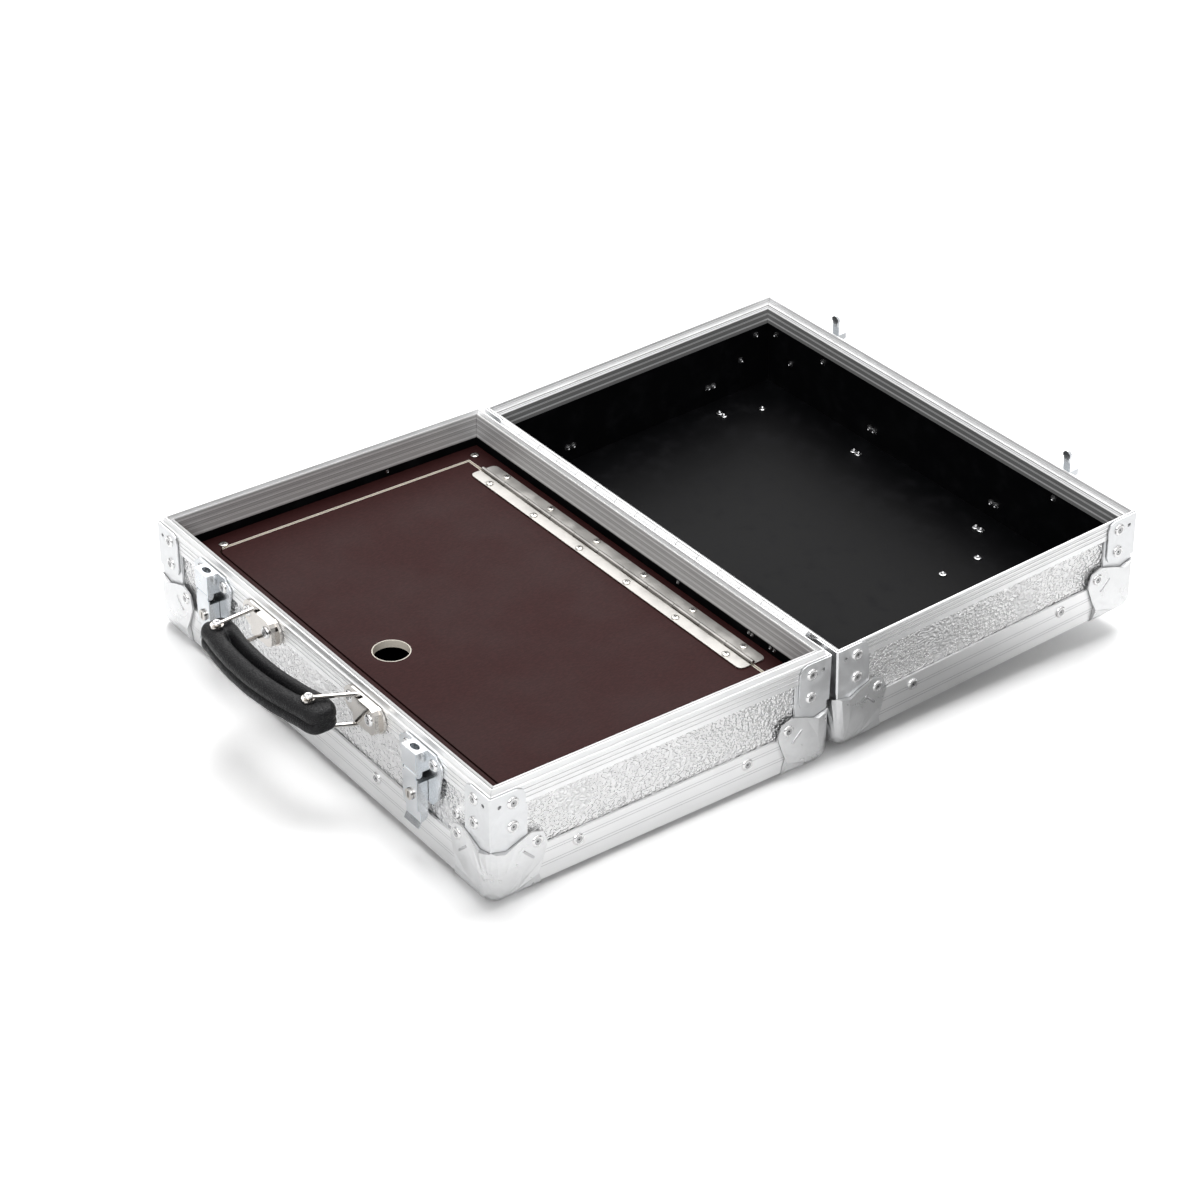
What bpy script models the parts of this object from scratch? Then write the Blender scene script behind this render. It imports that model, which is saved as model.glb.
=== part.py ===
import math

import bmesh
import bpy
from mathutils import Matrix, Vector

for old in list(bpy.data.objects):
    bpy.data.objects.remove(old, do_unlink=True)

# Sizes of the whole case, in metres
case_width = 0.3984
case_depth = 0.2684
base_height = 0.0793
lid_height = 0.0761
hinge_gap = 0.0065
lid_tilt = math.radians(2.65)
open_centre = 0.1168

# Clearances and cuts
seat_gap = 0.0003
mitre_gap = 0.0003
weld = 0.00001
overrun = 0.003

# Panels of both trays
panel = 0.0040
extrusion_wall = 0.0017
skin_inset = extrusion_wall + seat_gap

# Rim extrusions
rim_outer_leg = 0.0138
rim_inner_leg = 0.0167
rim_inner_wall = 0.0013
rim_web = 0.0023
rim_soft = 0.0003
rim_width = skin_inset + panel + seat_gap + rim_inner_wall
tongue_inset = 0.0018
tongue_base = 0.0026
tongue_crest = 0.0012
tongue_height = 0.0036
dip_height = 0.0006
bead_height = 0.0022
groove_inset = 0.0015
groove_width = 0.0036
groove_depth = 0.0039
lid_web = 0.0026
lid_step = 0.0058
lid_inner_leg = 0.0180
rib_count = 3
rib_pitch = 0.0034
rib_height = 0.0016
rib_start = 0.0016
rib_depth = 0.0003

# Edge and corner angles
angle_leg = 0.0277
angle_soft = 0.0008
butt_gap = 0.0003

# Rivets
rivet_radius = 0.0040
rivet_height = 0.0010
rivet_sink = 0.0004
rivet_sides = 8
rivet_side_share = 0.35
rivet_dome_shares = ((0.64, 0.86),)
shank_radius = 0.0020
wall_rivet_inset = 0.0402
wall_rivet_height = 0.0440
edge_rivet_inset_side = 0.0665
edge_rivet_inset_front = 0.1272
edge_rivet_height = 0.0200

# Corner braces
brace_width = 0.0255
brace_length = 0.0336
brace_wall = 0.0010
brace_round = 0.0060
brace_soft = 0.0011
brace_rivet_inset = 0.0157
brace_rivet_top = 0.0086
brace_rivet_low = 0.0265
brace_hole_inset = 0.0060
brace_hole_top = 0.0084
brace_hole_radius = 0.0015

# Ball corners
ball_rise = 0.0032
ball_reach = 0.0375
ball_round = 0.0100
ear_rise = 0.0014
ear_inset = 0.0338
ear_blend_start = 0.0310
ear_blend_end = 0.0420
ball_corner_wall = 0.0013
ball_rings = (0.0040, 0.0095, 0.0150)
ball_ring_shares = (0.55, 1.0)
ball_angles = (0, 8, 18, 28, 36, 45, 54, 62, 72, 82)
ball_reach_shares = (1.0, 0.985, 0.975, 1.16, 1.38, 1.47, 1.38, 1.16, 0.975, 0.985)

# Case hinge
case_knuckle_radius = 0.0026
case_pin_radius = 0.0008
case_leaf_wall = 0.0009
case_leaf_height = 0.0122
case_knuckles = 15
knuckle_gap = 0.0004
knuckle_sides = 8

# Board, hatch and ledge
board_wall = 0.0055
board_top = 0.0560
board_side_gap = 0.0003
hatch_left = 0.0235
hatch_right = 0.0240
hatch_front = 0.0310
hatch_back = 0.0255
hatch_round = 0.0065
hatch_kerf = 0.0014
finger_radius = 0.0125
finger_inset = 0.0285
ledge_wall = 0.0090
ledge_side = 0.0300
ledge_front = 0.0380
ledge_back = 0.0300
board_screw_radius = 0.0030
board_screw_inset_x = 0.0200
board_screw_front = 0.0380
board_screw_back = 0.0180
board_screw_height = 0.0008

# Hatch hinge
hatch_hinge_length = 0.3110
hatch_hinge_shift = -0.0025
hatch_leaf_wall = 0.0008
hatch_leaf_width = 0.0112
hatch_leaf_round = 0.0040
hatch_knuckle_radius = 0.0016
hatch_pin_radius = 0.0007
hatch_knuckles = 11
leaf_screw_count = 6
leaf_screw_pitch = 0.0544
leaf_screw_offset = 0.0076
leaf_screw_radius = 0.0026
leaf_screw_height = 0.0006

# Latches
latch_spread = 0.1260
latch_plate_wall = 0.0014
latch_plate_top = 0.0009
latch_plate_drop = 0.0390
latch_head_half = 0.0160
latch_bulge_half = 0.0235
latch_waist_half = 0.0190
latch_foot_half = 0.0130
latch_bulge_share = 0.16
latch_waist_share = 0.82
box_half = 0.0080
box_depth = 0.0086
box_wall = 0.0010
box_height = 0.0149
box_hole_x = 0.0044
box_hole_y = 0.0026
latch_rivet_offset = 0.0145
latch_rivet_drop = 0.0088
lever_pivot_drop = 0.0180
lever_pivot_depth = 0.0080
lever_barrel_radius = 0.0020
lever_pin_radius = 0.0009
cheek_radius = 0.0022
lever_drop = 0.0400
lever_wall = 0.0010
lever_back_gap = 0.0003
lever_flange_drop = 0.0056
lip_drop = 0.0260
lip_step = 0.0022
lip_slope = 0.0024
curl_drop = 0.0360
curl_reach = 0.0022
flange_round = 0.0045
key_drop = 0.0170
key_radius = 0.0040
key_proud = 0.0016
key_length = 0.0076
key_slot_length = 0.0050
key_slot_width = 0.0012
key_slot_depth = 0.0012
key_cam_reach = 0.0058
key_cam_half = 0.0015
key_cam_wall = 0.0012
cam_pivot_x = 0.0046
cam_pivot_drop = 0.0122
cam_eye_radius = 0.0020
cam_pin_radius = 0.0009
cam_wall = 0.0014
cam_arm_inner = 0.0036
cam_arm_outer = 0.0050
cam_nose_reach = 0.0028
cam_nose_wall = 0.0016
cam_tail_reach = 0.0020
cam_tail_top = 0.0012
cam_tail_low = 0.0028

# Keepers on the lid
keeper_half = 0.0080
keeper_wall = 0.0012
keeper_leg = 0.0300
keeper_reach = 0.0090
keeper_rim_gap = 0.0004
keeper_cheek = 0.0090
keeper_rivet_drop = 0.0236
prong_depth = 0.0056
prong_wall = 0.0020
prong_neck_half = 0.0025
prong_head_half = 0.0035
prong_shoulder = 0.0065
prong_head = 0.0029
prong_tip = 0.0019
prong_tip_half = 0.0010

# Handle
bail_pitch = 0.1240
bail_shift = -0.0020
bail_wire = 0.0015
bail_sides = 8
bail_arm = 0.0319
bail_bend = 0.0030
bail_bend_steps = 3
bail_rest = math.radians(4.85)
bail_depth = 0.0040
eyelet_radius = 0.0046
eyelet_wall = 0.0016
handle_pin_radius = 0.0019
handle_pin_gap = 0.0004
grip_pin_pitch = 0.1066
grip_over_left = 0.0128
grip_over_right = 0.0158
grip_half_depth = 0.0124
grip_end_shift = 0.0026
grip_bow = 0.0062
bracket_drop = 0.0103
bracket_height = 0.0194
bracket_left = 0.0208
bracket_right = 0.0259
bracket_wall = 0.0020
bracket_round = 0.0088
cover_left = 0.0036
cover_right = 0.0225
cover_wall = 0.0010
cover_round = 0.0060
pocket_left = 0.0026
pocket_right = 0.0030
bracket_rivet_left = 0.0144
bracket_rivet_right = 0.0155
bracket_rivet_drop = 0.0090

half_width = case_width / 2
half_depth = case_depth / 2
rim_plane = ball_rise + base_height
face_proud = seat_gap + brace_wall
cap_centre = ball_round - ball_rise
cap_vertex = 3 * (cap_centre - ball_round / math.sqrt(3)) + ball_corner_wall * math.sqrt(3)
cap_bevel = angle_soft - seat_gap * math.sqrt(2) + seat_gap
cap_start = cap_vertex - cap_bevel + seat_gap

finishes = {
    "laminate": ((0.74, 0.75, 0.76), 0.35, 0.6),
    "extrusion": ((0.86, 0.87, 0.88), 0.30, 0.9),
    "nickel": ((0.72, 0.72, 0.70), 0.22, 1.0),
    "steel": ((0.66, 0.67, 0.70), 0.25, 1.0),
    "board": ((0.16, 0.09, 0.07), 0.55, 0.0),
    "ply": ((0.55, 0.38, 0.22), 0.60, 0.0),
    "leather": ((0.03, 0.03, 0.03), 0.45, 0.0),
}


def make_finish(name):
    colour, roughness, metallic = finishes[name]
    material = bpy.data.materials.new(name)
    material.use_nodes = True
    shader = material.node_tree.nodes["Principled BSDF"]
    shader.inputs["Base Color"].default_value = (*colour, 1.0)
    shader.inputs["Roughness"].default_value = roughness
    shader.inputs["Metallic"].default_value = metallic
    return material


def link(name, mesh, finish, parent):
    item = bpy.data.objects.new(name, mesh)
    bpy.context.collection.objects.link(item)
    item.parent = parent
    if finish:
        item.data.materials.append(make_finish(finish))
    return item


def solid(name, shape, finish, parent, location=(0, 0, 0), smooth=None):
    bmesh.ops.remove_doubles(shape, verts=shape.verts, dist=weld)
    bmesh.ops.recalc_face_normals(shape, faces=shape.faces)
    mesh = bpy.data.meshes.new(name)
    shape.to_mesh(mesh)
    shape.free()
    item = link(name, mesh, finish, parent)
    item.location = location
    if smooth:
        mesh.shade_smooth()
        mesh.set_sharp_from_angle(angle=math.radians(smooth))
    return item


def empty(name, location, parent=None, tilt=0.0):
    item = bpy.data.objects.new(name, None)
    bpy.context.collection.objects.link(item)
    item.parent = parent
    item.location = location
    item.rotation_euler.x = tilt
    return item


def boolean(target, tool, operation):
    step = target.modifiers.new(tool.name, "BOOLEAN")
    step.operation = operation
    step.solver = "EXACT"
    step.object = tool
    tool.hide_render = True
    tool.display_type = "WIRE"


def prism(shape, axis, outline, low, high):
    """Extrudes an outline along an axis."""
    place = {
        "x": lambda p, q: (low, p, q),
        "y": lambda p, q: (p, low, q),
        "z": lambda p, q: (p, q, low),
    }[axis]
    face = shape.faces.new([shape.verts.new(place(p, q)) for p, q in outline])
    swept = bmesh.ops.extrude_face_region(shape, geom=[face], use_keep_orig=True)
    raised = [item for item in swept["geom"] if isinstance(item, bmesh.types.BMVert)]
    shift = {"x": (1, 0, 0), "y": (0, 1, 0), "z": (0, 0, 1)}[axis]
    bmesh.ops.translate(shape, verts=raised, vec=Vector(shift) * (high - low))
    return shape


def block(shape, low, high):
    outline = [(low[0], low[1]), (high[0], low[1]), (high[0], high[1]), (low[0], high[1])]
    return prism(shape, "z", outline, low[2], high[2])


def arc(centre, radius, start, end, steps):
    points = []
    for step in range(steps + 1):
        angle = math.radians(start + (end - start) * step / steps)
        points.append((centre[0] + radius * math.cos(angle), centre[1] + radius * math.sin(angle)))
    return points


def rounded(left, right, low, high, radii, steps=3):
    """A rectangle with its own radius at each corner, from low left round to top left."""
    points = []
    corners = ((left, low, 1, 1, 180), (right, low, -1, 1, 270), (right, high, -1, -1, 0), (left, high, 1, -1, 90))
    for radius, (x, y, inward_x, inward_y, start) in zip(radii, corners):
        if radius:
            centre = (x + inward_x * radius, y + inward_y * radius)
            points += arc(centre, radius, start, start + 90, steps)
        else:
            points.append((x, y))
    return points


def rod(shape, axis, centre, radius, low, high, sides):
    """A round bar along an axis, centred on the other two coordinates."""
    turn = {"x": Matrix.Rotation(math.pi / 2, 4, "Y"), "y": Matrix.Rotation(math.pi / 2, 4, "X"), "z": Matrix()}[axis]
    middle = (low + high) / 2
    place = {
        "x": (middle, centre[0], centre[1]),
        "y": (centre[0], middle, centre[1]),
        "z": (centre[0], centre[1], middle),
    }[axis]
    bmesh.ops.create_cone(
        shape,
        cap_ends=True,
        segments=sides,
        radius1=radius,
        radius2=radius,
        depth=high - low,
        matrix=Matrix.Translation(place) @ turn,
    )
    return shape


def dome(shape, place, outward, radius=None, height=None, shank=0.0, sides=None):
    """A rivet or screw head turned about its own axis, its rim sunk into what it holds."""
    radius = radius or rivet_radius
    height = height or rivet_height
    sides = sides or rivet_sides
    profile = [(0, -rivet_sink), (radius, -rivet_sink), (radius, height * rivet_side_share)]
    if shank:
        profile = [(0, -shank), (shank_radius, -shank), (shank_radius, -rivet_sink)] + profile[1:]
    profile += [(radius * across, height * up) for across, up in rivet_dome_shares]
    profile.append((0, height))
    head = bmesh.new()
    ring = [head.verts.new((x, 0, z)) for x, z in profile]
    edges = [head.edges.new(pair) for pair in zip(ring, ring[1:])]
    bmesh.ops.spin(
        head, geom=ring + edges, axis=(0, 0, 1), cent=(0, 0, 0), angle=2 * math.pi, steps=sides, use_merge=True
    )
    bmesh.ops.remove_doubles(head, verts=head.verts, dist=weld)
    aim = Vector((0, 0, 1)).rotation_difference(Vector(outward)).to_matrix().to_4x4()
    bmesh.ops.transform(head, matrix=Matrix.Translation(place) @ aim, verts=head.verts)
    bmesh.ops.recalc_face_normals(head, faces=head.faces)
    mesh = bpy.data.meshes.new("head")
    head.to_mesh(mesh)
    head.free()
    shape.from_mesh(mesh)
    bpy.data.meshes.remove(mesh)
    return shape


def add_tool(target, shape, operation, label):
    tool = solid(target.name + "_" + label, shape, None, target.parent, target.location)
    boolean(target, tool, operation)
    return tool


# Frames: the base stands on its ball corners; the lid turns on the hinge axis
# The origin is on the floor, under the middle of the open case
base_frame = empty("base_frame", (0, -open_centre, 0))
lid_frame = empty("lid_frame", (0, half_depth + hinge_gap / 2 - open_centre, rim_plane), tilt=lid_tilt)

base = {
    "name": "base",
    "near": -half_depth,
    "far": half_depth,
    "near_word": "front",
    "far_word": "rear",
    "bottom": ball_rise,
    "rim": rim_plane,
    "frame": base_frame,
}
lid = {
    "name": "lid",
    "near": hinge_gap / 2,
    "far": hinge_gap / 2 + case_depth,
    "near_word": "rear",
    "far_word": "front",
    "bottom": -seat_gap - lid_height,
    "rim": -seat_gap,
    "frame": lid_frame,
}


# Trays
def tray(half, web, rivets=()):
    low = half["bottom"] + skin_inset
    high = half["rim"] - web - seat_gap
    shape = bmesh.new()
    block(
        shape,
        (-half_width + skin_inset, half["near"] + skin_inset, low),
        (half_width - skin_inset, half["far"] - skin_inset, high),
    )
    top = [face for face in shape.faces if face.calc_center_median().z > high - weld]
    bmesh.ops.inset_region(shape, faces=top, thickness=panel, use_even_offset=True)
    floor = bmesh.ops.extrude_face_region(shape, geom=top)
    moved = [item for item in floor["geom"] if isinstance(item, bmesh.types.BMVert)]
    bmesh.ops.translate(shape, verts=moved, vec=(0, 0, low + panel - high))
    bmesh.ops.delete(shape, geom=top, context="FACES")
    shell = solid(half["name"] + "_shell", shape, "laminate", half["frame"])
    if rivets:
        heads = bmesh.new()
        for x, height in rivets:
            dome(heads, (x, half["near"] + skin_inset, half["bottom"] + height), (0, -1, 0))
        add_tool(shell, heads, "UNION", "rivets")
    return shell


# Rim extrusions: outer leg with shallow ribs, web over the panel, tongue or groove, inner leg
def rib_points(top, bottom):
    points = []
    for rib in range(rib_count):
        level = top - rib_start - rib * rib_pitch
        points += [
            (0, level),
            (rib_depth, level - rib_depth),
            (rib_depth, level - rib_height + rib_depth),
            (0, level - rib_height),
        ]
    return points + [(0, bottom)]


def base_rim_section():
    inner = rim_width - rim_inner_wall
    crest = tongue_inset + (tongue_base - tongue_crest) / 2
    dip = tongue_inset + tongue_base + rim_soft
    outside = [(rim_soft, 0)] + rib_points(0, -rim_outer_leg)[:-1] + [(0, -rim_outer_leg)]
    inside = [
        (extrusion_wall, -rim_outer_leg),
        (extrusion_wall, -rim_web),
        (inner, -rim_web),
        (inner, -rim_inner_leg),
        (rim_width, -rim_inner_leg),
        (rim_width, bead_height - 2 * rim_soft),
        (rim_width - rim_soft, bead_height),
        (inner, bead_height - rim_soft),
        (inner - rim_soft, dip_height),
        (dip, dip_height),
        (crest + tongue_crest, tongue_height - rim_soft),
        (crest + tongue_crest - rim_soft, tongue_height),
        (crest + rim_soft, tongue_height),
        (crest, tongue_height - rim_soft),
        (tongue_inset, 0),
    ]
    return outside + inside


def lid_rim_section():
    inner = rim_width - rim_inner_wall
    under = groove_depth + lid_web
    outside = [(rim_soft, 0)] + rib_points(0, -rim_outer_leg)[:-1] + [(0, -rim_outer_leg)]
    inside = [
        (extrusion_wall, -rim_outer_leg),
        (extrusion_wall, -under),
        (inner, -under),
        (inner, -lid_inner_leg),
        (rim_width, -lid_inner_leg),
        (rim_width, -lid_step),
        (rim_width - 2 * rim_soft, -lid_step + 2 * rim_soft),
        (groove_inset + groove_width, -groove_depth),
        (groove_inset, -groove_depth),
        (groove_inset, -rim_soft),
        (groove_inset - rim_soft, 0),
    ]
    return outside + inside


def mitred_bar(half, side, section, level, name, finish="extrusion"):
    """A profile laid along one side of a half, cut at 45 degrees at both ends."""
    shape = bmesh.new()
    ends = []
    for end in (0, 1):
        ring = []
        for inset, height in section:
            along = inset + mitre_gap / 2
            left, right = -half_width + inset, half_width - inset
            near, far = half["near"] + inset, half["far"] - inset
            x = {"left": left, "right": right}.get(side)
            y = {"near": near, "far": far}.get(side)
            if x is None:
                x = (-half_width + along, half_width - along)[end]
            if y is None:
                y = (half["near"] + along, half["far"] - along)[end]
            ring.append(shape.verts.new((x, y, level + height)))
        ends.append(ring)
    edges = []
    for ring in ends:
        face = shape.faces.new(ring)
        edges += face.edges
    bmesh.ops.bridge_loops(shape, edges=edges)
    return solid(name, shape, finish, half["frame"])


def side_word(half, side):
    return {"near": half["near_word"], "far": half["far_word"]}.get(side, side)


def rims(half, section):
    for side in ("near", "far", "left", "right"):
        name = half["name"] + "_rim_" + side_word(half, side)
        mitred_bar(half, side, section, half["rim"], name)


# Corners of a half, and the cut that clears the inside of a ball corner
def corner_places(half):
    for across, hand_x in (("left", 1), ("right", -1)):
        for side, hand_y in (("near", 1), ("far", -1)):
            corner = Vector((-hand_x * half_width, half[side], 0))
            yield across + "_" + side_word(half, side), corner, hand_x, hand_y


def turned(shape, corner, hand_x, hand_y, height):
    """Mirrors a corner drawn at the origin to where it belongs."""
    matrix = Matrix.Translation((corner.x, corner.y, height)) @ Matrix.Diagonal((hand_x, hand_y, 1, 1))
    bmesh.ops.transform(shape, matrix=matrix, verts=shape.verts)
    return shape


def blunt_tip():
    reach = cap_vertex + seat_gap * math.sqrt(3) + 2 * overrun
    points = [(-overrun, -overrun, -overrun)]
    points += [(reach, -overrun, -overrun), (-overrun, reach, -overrun), (-overrun, -overrun, reach)]
    shape = bmesh.new()
    corners = [shape.verts.new(point) for point in points]
    for skipped in range(4):
        shape.faces.new([corner for index, corner in enumerate(corners) if index != skipped])
    return shape


def blunt_upright():
    reach = angle_soft + overrun
    outline = [(-overrun, -overrun), (reach, -overrun), (-overrun, reach)]
    return prism(bmesh.new(), "z", outline, -overrun, angle_leg + overrun)


def corner_cuts(half, side, make):
    """One cut for each of the two corners that a side runs into."""
    cuts = bmesh.new()
    for word, corner, hand_x, hand_y in corner_places(half):
        if side_word(half, side) in word.split("_"):
            cut = solid("cut", turned(make(), corner, hand_x, hand_y, half["bottom"]), None, None)
            cuts.from_mesh(cut.data)
            bpy.data.objects.remove(cut, do_unlink=True)
    return cuts


# Bottom edge angles, riveted through the panels
def edge_angles(half):
    section = [
        (0, angle_leg),
        (0, angle_soft),
        (angle_soft, 0),
        (angle_leg, 0),
        (angle_leg, extrusion_wall),
        (extrusion_wall, extrusion_wall),
        (extrusion_wall, angle_leg),
    ]
    middle = (half["near"] + half["far"]) / 2
    height = half["bottom"] + edge_rivet_height
    for side in ("near", "far", "left", "right"):
        name = half["name"] + "_edge_" + side_word(half, side)
        bar = mitred_bar(half, side, section, half["bottom"], name)
        heads = bmesh.new()
        for hand in (-1, 1):
            if side in ("left", "right"):
                out = -1 if side == "left" else 1
                spot = (out * half_width, middle + hand * (half_depth - edge_rivet_inset_side), height)
                dome(heads, spot, (out, 0, 0))
            else:
                spot = (hand * (half_width - edge_rivet_inset_front), half[side], height)
                dome(heads, spot, (0, -1 if side == "near" else 1, 0))
        add_tool(bar, heads, "UNION", "rivets")
        add_tool(bar, corner_cuts(half, side, blunt_tip), "DIFFERENCE", "tips")
        add_tool(bar, corner_cuts(half, side, blunt_upright), "DIFFERENCE", "uprights")


# Corner posts: an upright angle with the brace riveted over it and over the rim's end
def post_angle(low, high):
    shape = bmesh.new()
    outline = [
        (angle_soft, 0),
        (angle_leg, 0),
        (angle_leg, extrusion_wall),
        (extrusion_wall, extrusion_wall),
        (extrusion_wall, angle_leg),
        (0, angle_leg),
        (0, angle_soft),
    ]
    return prism(shape, "z", outline, low, high)


def brace_plate(low, high):
    outer = -face_proud
    inner = -seat_gap
    shape = bmesh.new()
    outline = [
        (outer + brace_soft, outer),
        (brace_width, outer),
        (brace_width, inner),
        (inner, inner),
        (inner, brace_width),
        (outer, brace_width),
        (outer, outer + brace_soft),
    ]
    prism(shape, "z", outline, low, high)
    corners = []
    for edge in shape.edges:
        first, second = (vertex.co for vertex in edge.verts)
        if abs(first.z - second.z) > weld:
            continue
        if min(first.x, second.x) > brace_width - weld or min(first.y, second.y) > brace_width - weld:
            corners.append(edge)
    bmesh.ops.bevel(
        shape, geom=corners, offset=brace_round, segments=2, profile=0.5, affect="EDGES", clamp_overlap=True
    )
    return shape


def corner_posts(half):
    low = half["bottom"] + angle_leg + butt_gap
    high = half["rim"] - rim_outer_leg - butt_gap
    top = half["rim"] - rim_soft
    for word, corner, hand_x, hand_y in corner_places(half):
        name = half["name"] + "_corner_" + word
        shape = turned(post_angle(low, high), corner, hand_x, hand_y, 0)
        post = solid(name, shape, "extrusion", half["frame"])
        plate = turned(brace_plate(top - brace_length, top), corner, hand_x, hand_y, 0)
        rivets = bmesh.new()
        holes = bmesh.new()
        for flat in (0, 1):
            outward = (0, -1, 0) if flat else (-1, 0, 0)
            for drop in (brace_rivet_top, brace_rivet_low):
                place = [-face_proud, brace_rivet_inset, half["rim"] - drop]
                if flat:
                    place[0], place[1] = place[1], place[0]
                reach = face_proud + extrusion_wall / 2 if half["rim"] - drop < high else 0
                dome(rivets, place, outward, shank=reach)
            level = half["rim"] - brace_hole_top
            centre = (brace_hole_inset, level)
            axis = "y" if flat else "x"
            rod(holes, axis, centre, brace_hole_radius, -face_proud - overrun, -seat_gap / 2, rivet_sides)
        bmesh.ops.recalc_face_normals(holes, faces=holes.faces)
        turned(rivets, corner, hand_x, hand_y, 0)
        turned(holes, corner, hand_x, hand_y, 0)
        add_tool(post, plate, "UNION", "brace")
        add_tool(post, rivets, "UNION", "rivets")
        add_tool(post, holes, "DIFFERENCE", "holes")


# Ball corners: a rounded three-sided cap with a riveted ear on each side

def cap_point(side, angle, distance):
    across, up = distance * math.cos(angle), distance * math.sin(angle)
    blend = min(max((distance - ear_blend_start) / (ear_blend_end - ear_blend_start), 0), 1)
    blend = blend * blend * (3 - 2 * blend) * math.sin(2 * angle) ** 2
    rise = ball_rise - (ball_rise - ear_rise) * blend
    spread = [value - ball_rise * max(0, 1 - value / ball_reach) for value in (across, up)]
    point = [0, 0, 0]
    point[side] = -rise
    point[(side + 1) % 3], point[(side + 2) % 3] = spread
    centre = Vector([max(value, cap_centre) for value in point])
    offset = Vector(point) - centre
    return centre + offset.normalized() * -offset[side]


def inner_point(side, across, up):
    """A point on the cap's inner face of one side."""
    point = [0, 0, 0]
    point[side] = -seat_gap
    point[(side + 1) % 3] = across
    point[(side + 2) % 3] = up
    return point


def ball_corner_shape():
    shape = bmesh.new()
    rays = [(side, step) for side in range(3) for step in range(len(ball_angles))]
    rings = []
    for ring in range(len(ball_rings) + len(ball_ring_shares)):
        row = []
        for side, step in rays:
            if ring < len(ball_rings):
                distance = ball_rings[ring]
            else:
                distance = ball_reach * ball_reach_shares[step] * ball_ring_shares[ring - len(ball_rings)]
            row.append(shape.verts.new(cap_point(side, math.radians(ball_angles[step]), distance)))
        rings.append(row)
    pole = shape.verts.new(cap_point(0, 0, 0))
    count = len(rays)
    for ray in range(count):
        following = (ray + 1) % count
        shape.faces.new((pole, rings[0][ray], rings[0][following]))
        for near, far in zip(rings, rings[1:]):
            shape.faces.new((near[ray], far[ray], far[following], near[following]))
    steps = len(ball_angles)
    sides = []
    for side in range(3):
        row = [shape.verts.new(inner_point(side, cap_start, cap_bevel))]
        row.append(shape.verts.new(inner_point(side, ball_reach, cap_bevel)))
        for step in range(1, steps):
            angle = math.radians(ball_angles[step])
            distance = ball_reach * ball_reach_shares[step]
            row.append(
                shape.verts.new(inner_point(side, distance * math.cos(angle), distance * math.sin(angle)))
            )
        row.append(shape.verts.new(inner_point(side, cap_bevel, ball_reach)))
        row.append(shape.verts.new(inner_point(side, cap_bevel, cap_start)))
        sides.append(row)
        shape.faces.new(row)
        for step in range(steps):
            first = rings[-1][side * steps + step]
            second = rings[-1][(side * steps + step + 1) % count]
            shape.faces.new((first, row[step + 1], row[step + 2], second))
    for side in range(3):
        row, after = sides[side], sides[(side + 1) % 3]
        shape.faces.new((row[-1], row[-2], after[1], after[0]))
        shape.faces.new((rings[-1][((side + 1) * steps) % count], row[-2], after[1]))
    shape.faces.new([row[end] for row in sides for end in (0, -1)])
    return shape


def ball_corners(half):
    for word, corner, hand_x, hand_y in corner_places(half):
        shape = turned(ball_corner_shape(), corner, hand_x, hand_y, half["bottom"])
        name = half["name"] + "_ball_" + word
        cap = solid(name, shape, "nickel", half["frame"], smooth=35)
        rivets = bmesh.new()
        for side in range(3):
            place = [ear_inset] * 3
            place[side] = -ear_rise
            outward = [0, 0, 0]
            outward[side] = -1
            dome(rivets, place, outward)
        turned(rivets, corner, hand_x, hand_y, half["bottom"])
        add_tool(cap, rivets, "UNION", "rivets")


# Case hinge: two long leaves with alternate knuckles on one pin
def knuckle_spans(length, count, first):
    pitch = length / count
    for index in range(first, count, 2):
        start = -length / 2 + index * pitch
        yield start + knuckle_gap / 2, start + pitch - knuckle_gap / 2


def comb(length, spans, low, neck, high):
    """Outline of a leaf whose top edge rises to the axis at its own knuckles."""
    outline = [(-length / 2, low), (length / 2, low), (length / 2, neck)]
    for start, end in reversed(list(spans)):
        outline += [(end, neck), (end, high), (start, high), (start, neck)]
    outline.append((-length / 2, neck))
    cleaned = []
    for point in outline:
        if not cleaned or (Vector(point) - Vector(cleaned[-1])).length > weld:
            cleaned.append(point)
    return cleaned


def knuckles(axis_place, spans, outer, sides):
    shape = bmesh.new()
    for start, end in spans:
        profile = bmesh.new()
        rod(profile, "x", axis_place, outer, start, end, sides)
        mesh = bpy.data.meshes.new("knuckle")
        bmesh.ops.recalc_face_normals(profile, faces=profile.faces)
        profile.to_mesh(mesh)
        profile.free()
        shape.from_mesh(mesh)
        bpy.data.meshes.remove(mesh)
    return shape


case_hinge_length = case_width - 2 * (brace_width + knuckle_gap + seat_gap)


def case_leaf(half, name, first, side):
    axis_y = side * hinge_gap / 2 + (half["near"] if side < 0 else half["far"])
    axis_z = rim_plane if half is base else 0
    face = half["near"] if side < 0 else half["far"]
    low_y, high_y = sorted((face + side * seat_gap, face + side * (seat_gap + case_leaf_wall)))
    spans = list(knuckle_spans(case_hinge_length, case_knuckles, first))
    neck = axis_z - case_knuckle_radius - knuckle_gap
    outline = comb(case_hinge_length, spans, axis_z - case_leaf_height, neck, axis_z)
    leaf = solid(name, prism(bmesh.new(), "y", outline, low_y, high_y), "extrusion", half["frame"])
    tubes = knuckles((axis_y, axis_z), spans, case_knuckle_radius, knuckle_sides)
    add_tool(leaf, tubes, "UNION", "knuckles")
    bore = bmesh.new()
    reach = case_hinge_length / 2 + overrun
    rod(bore, "x", (axis_y, axis_z), case_pin_radius + seat_gap, -reach, reach, knuckle_sides)
    add_tool(leaf, bore, "DIFFERENCE", "bore")
    return leaf


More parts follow.
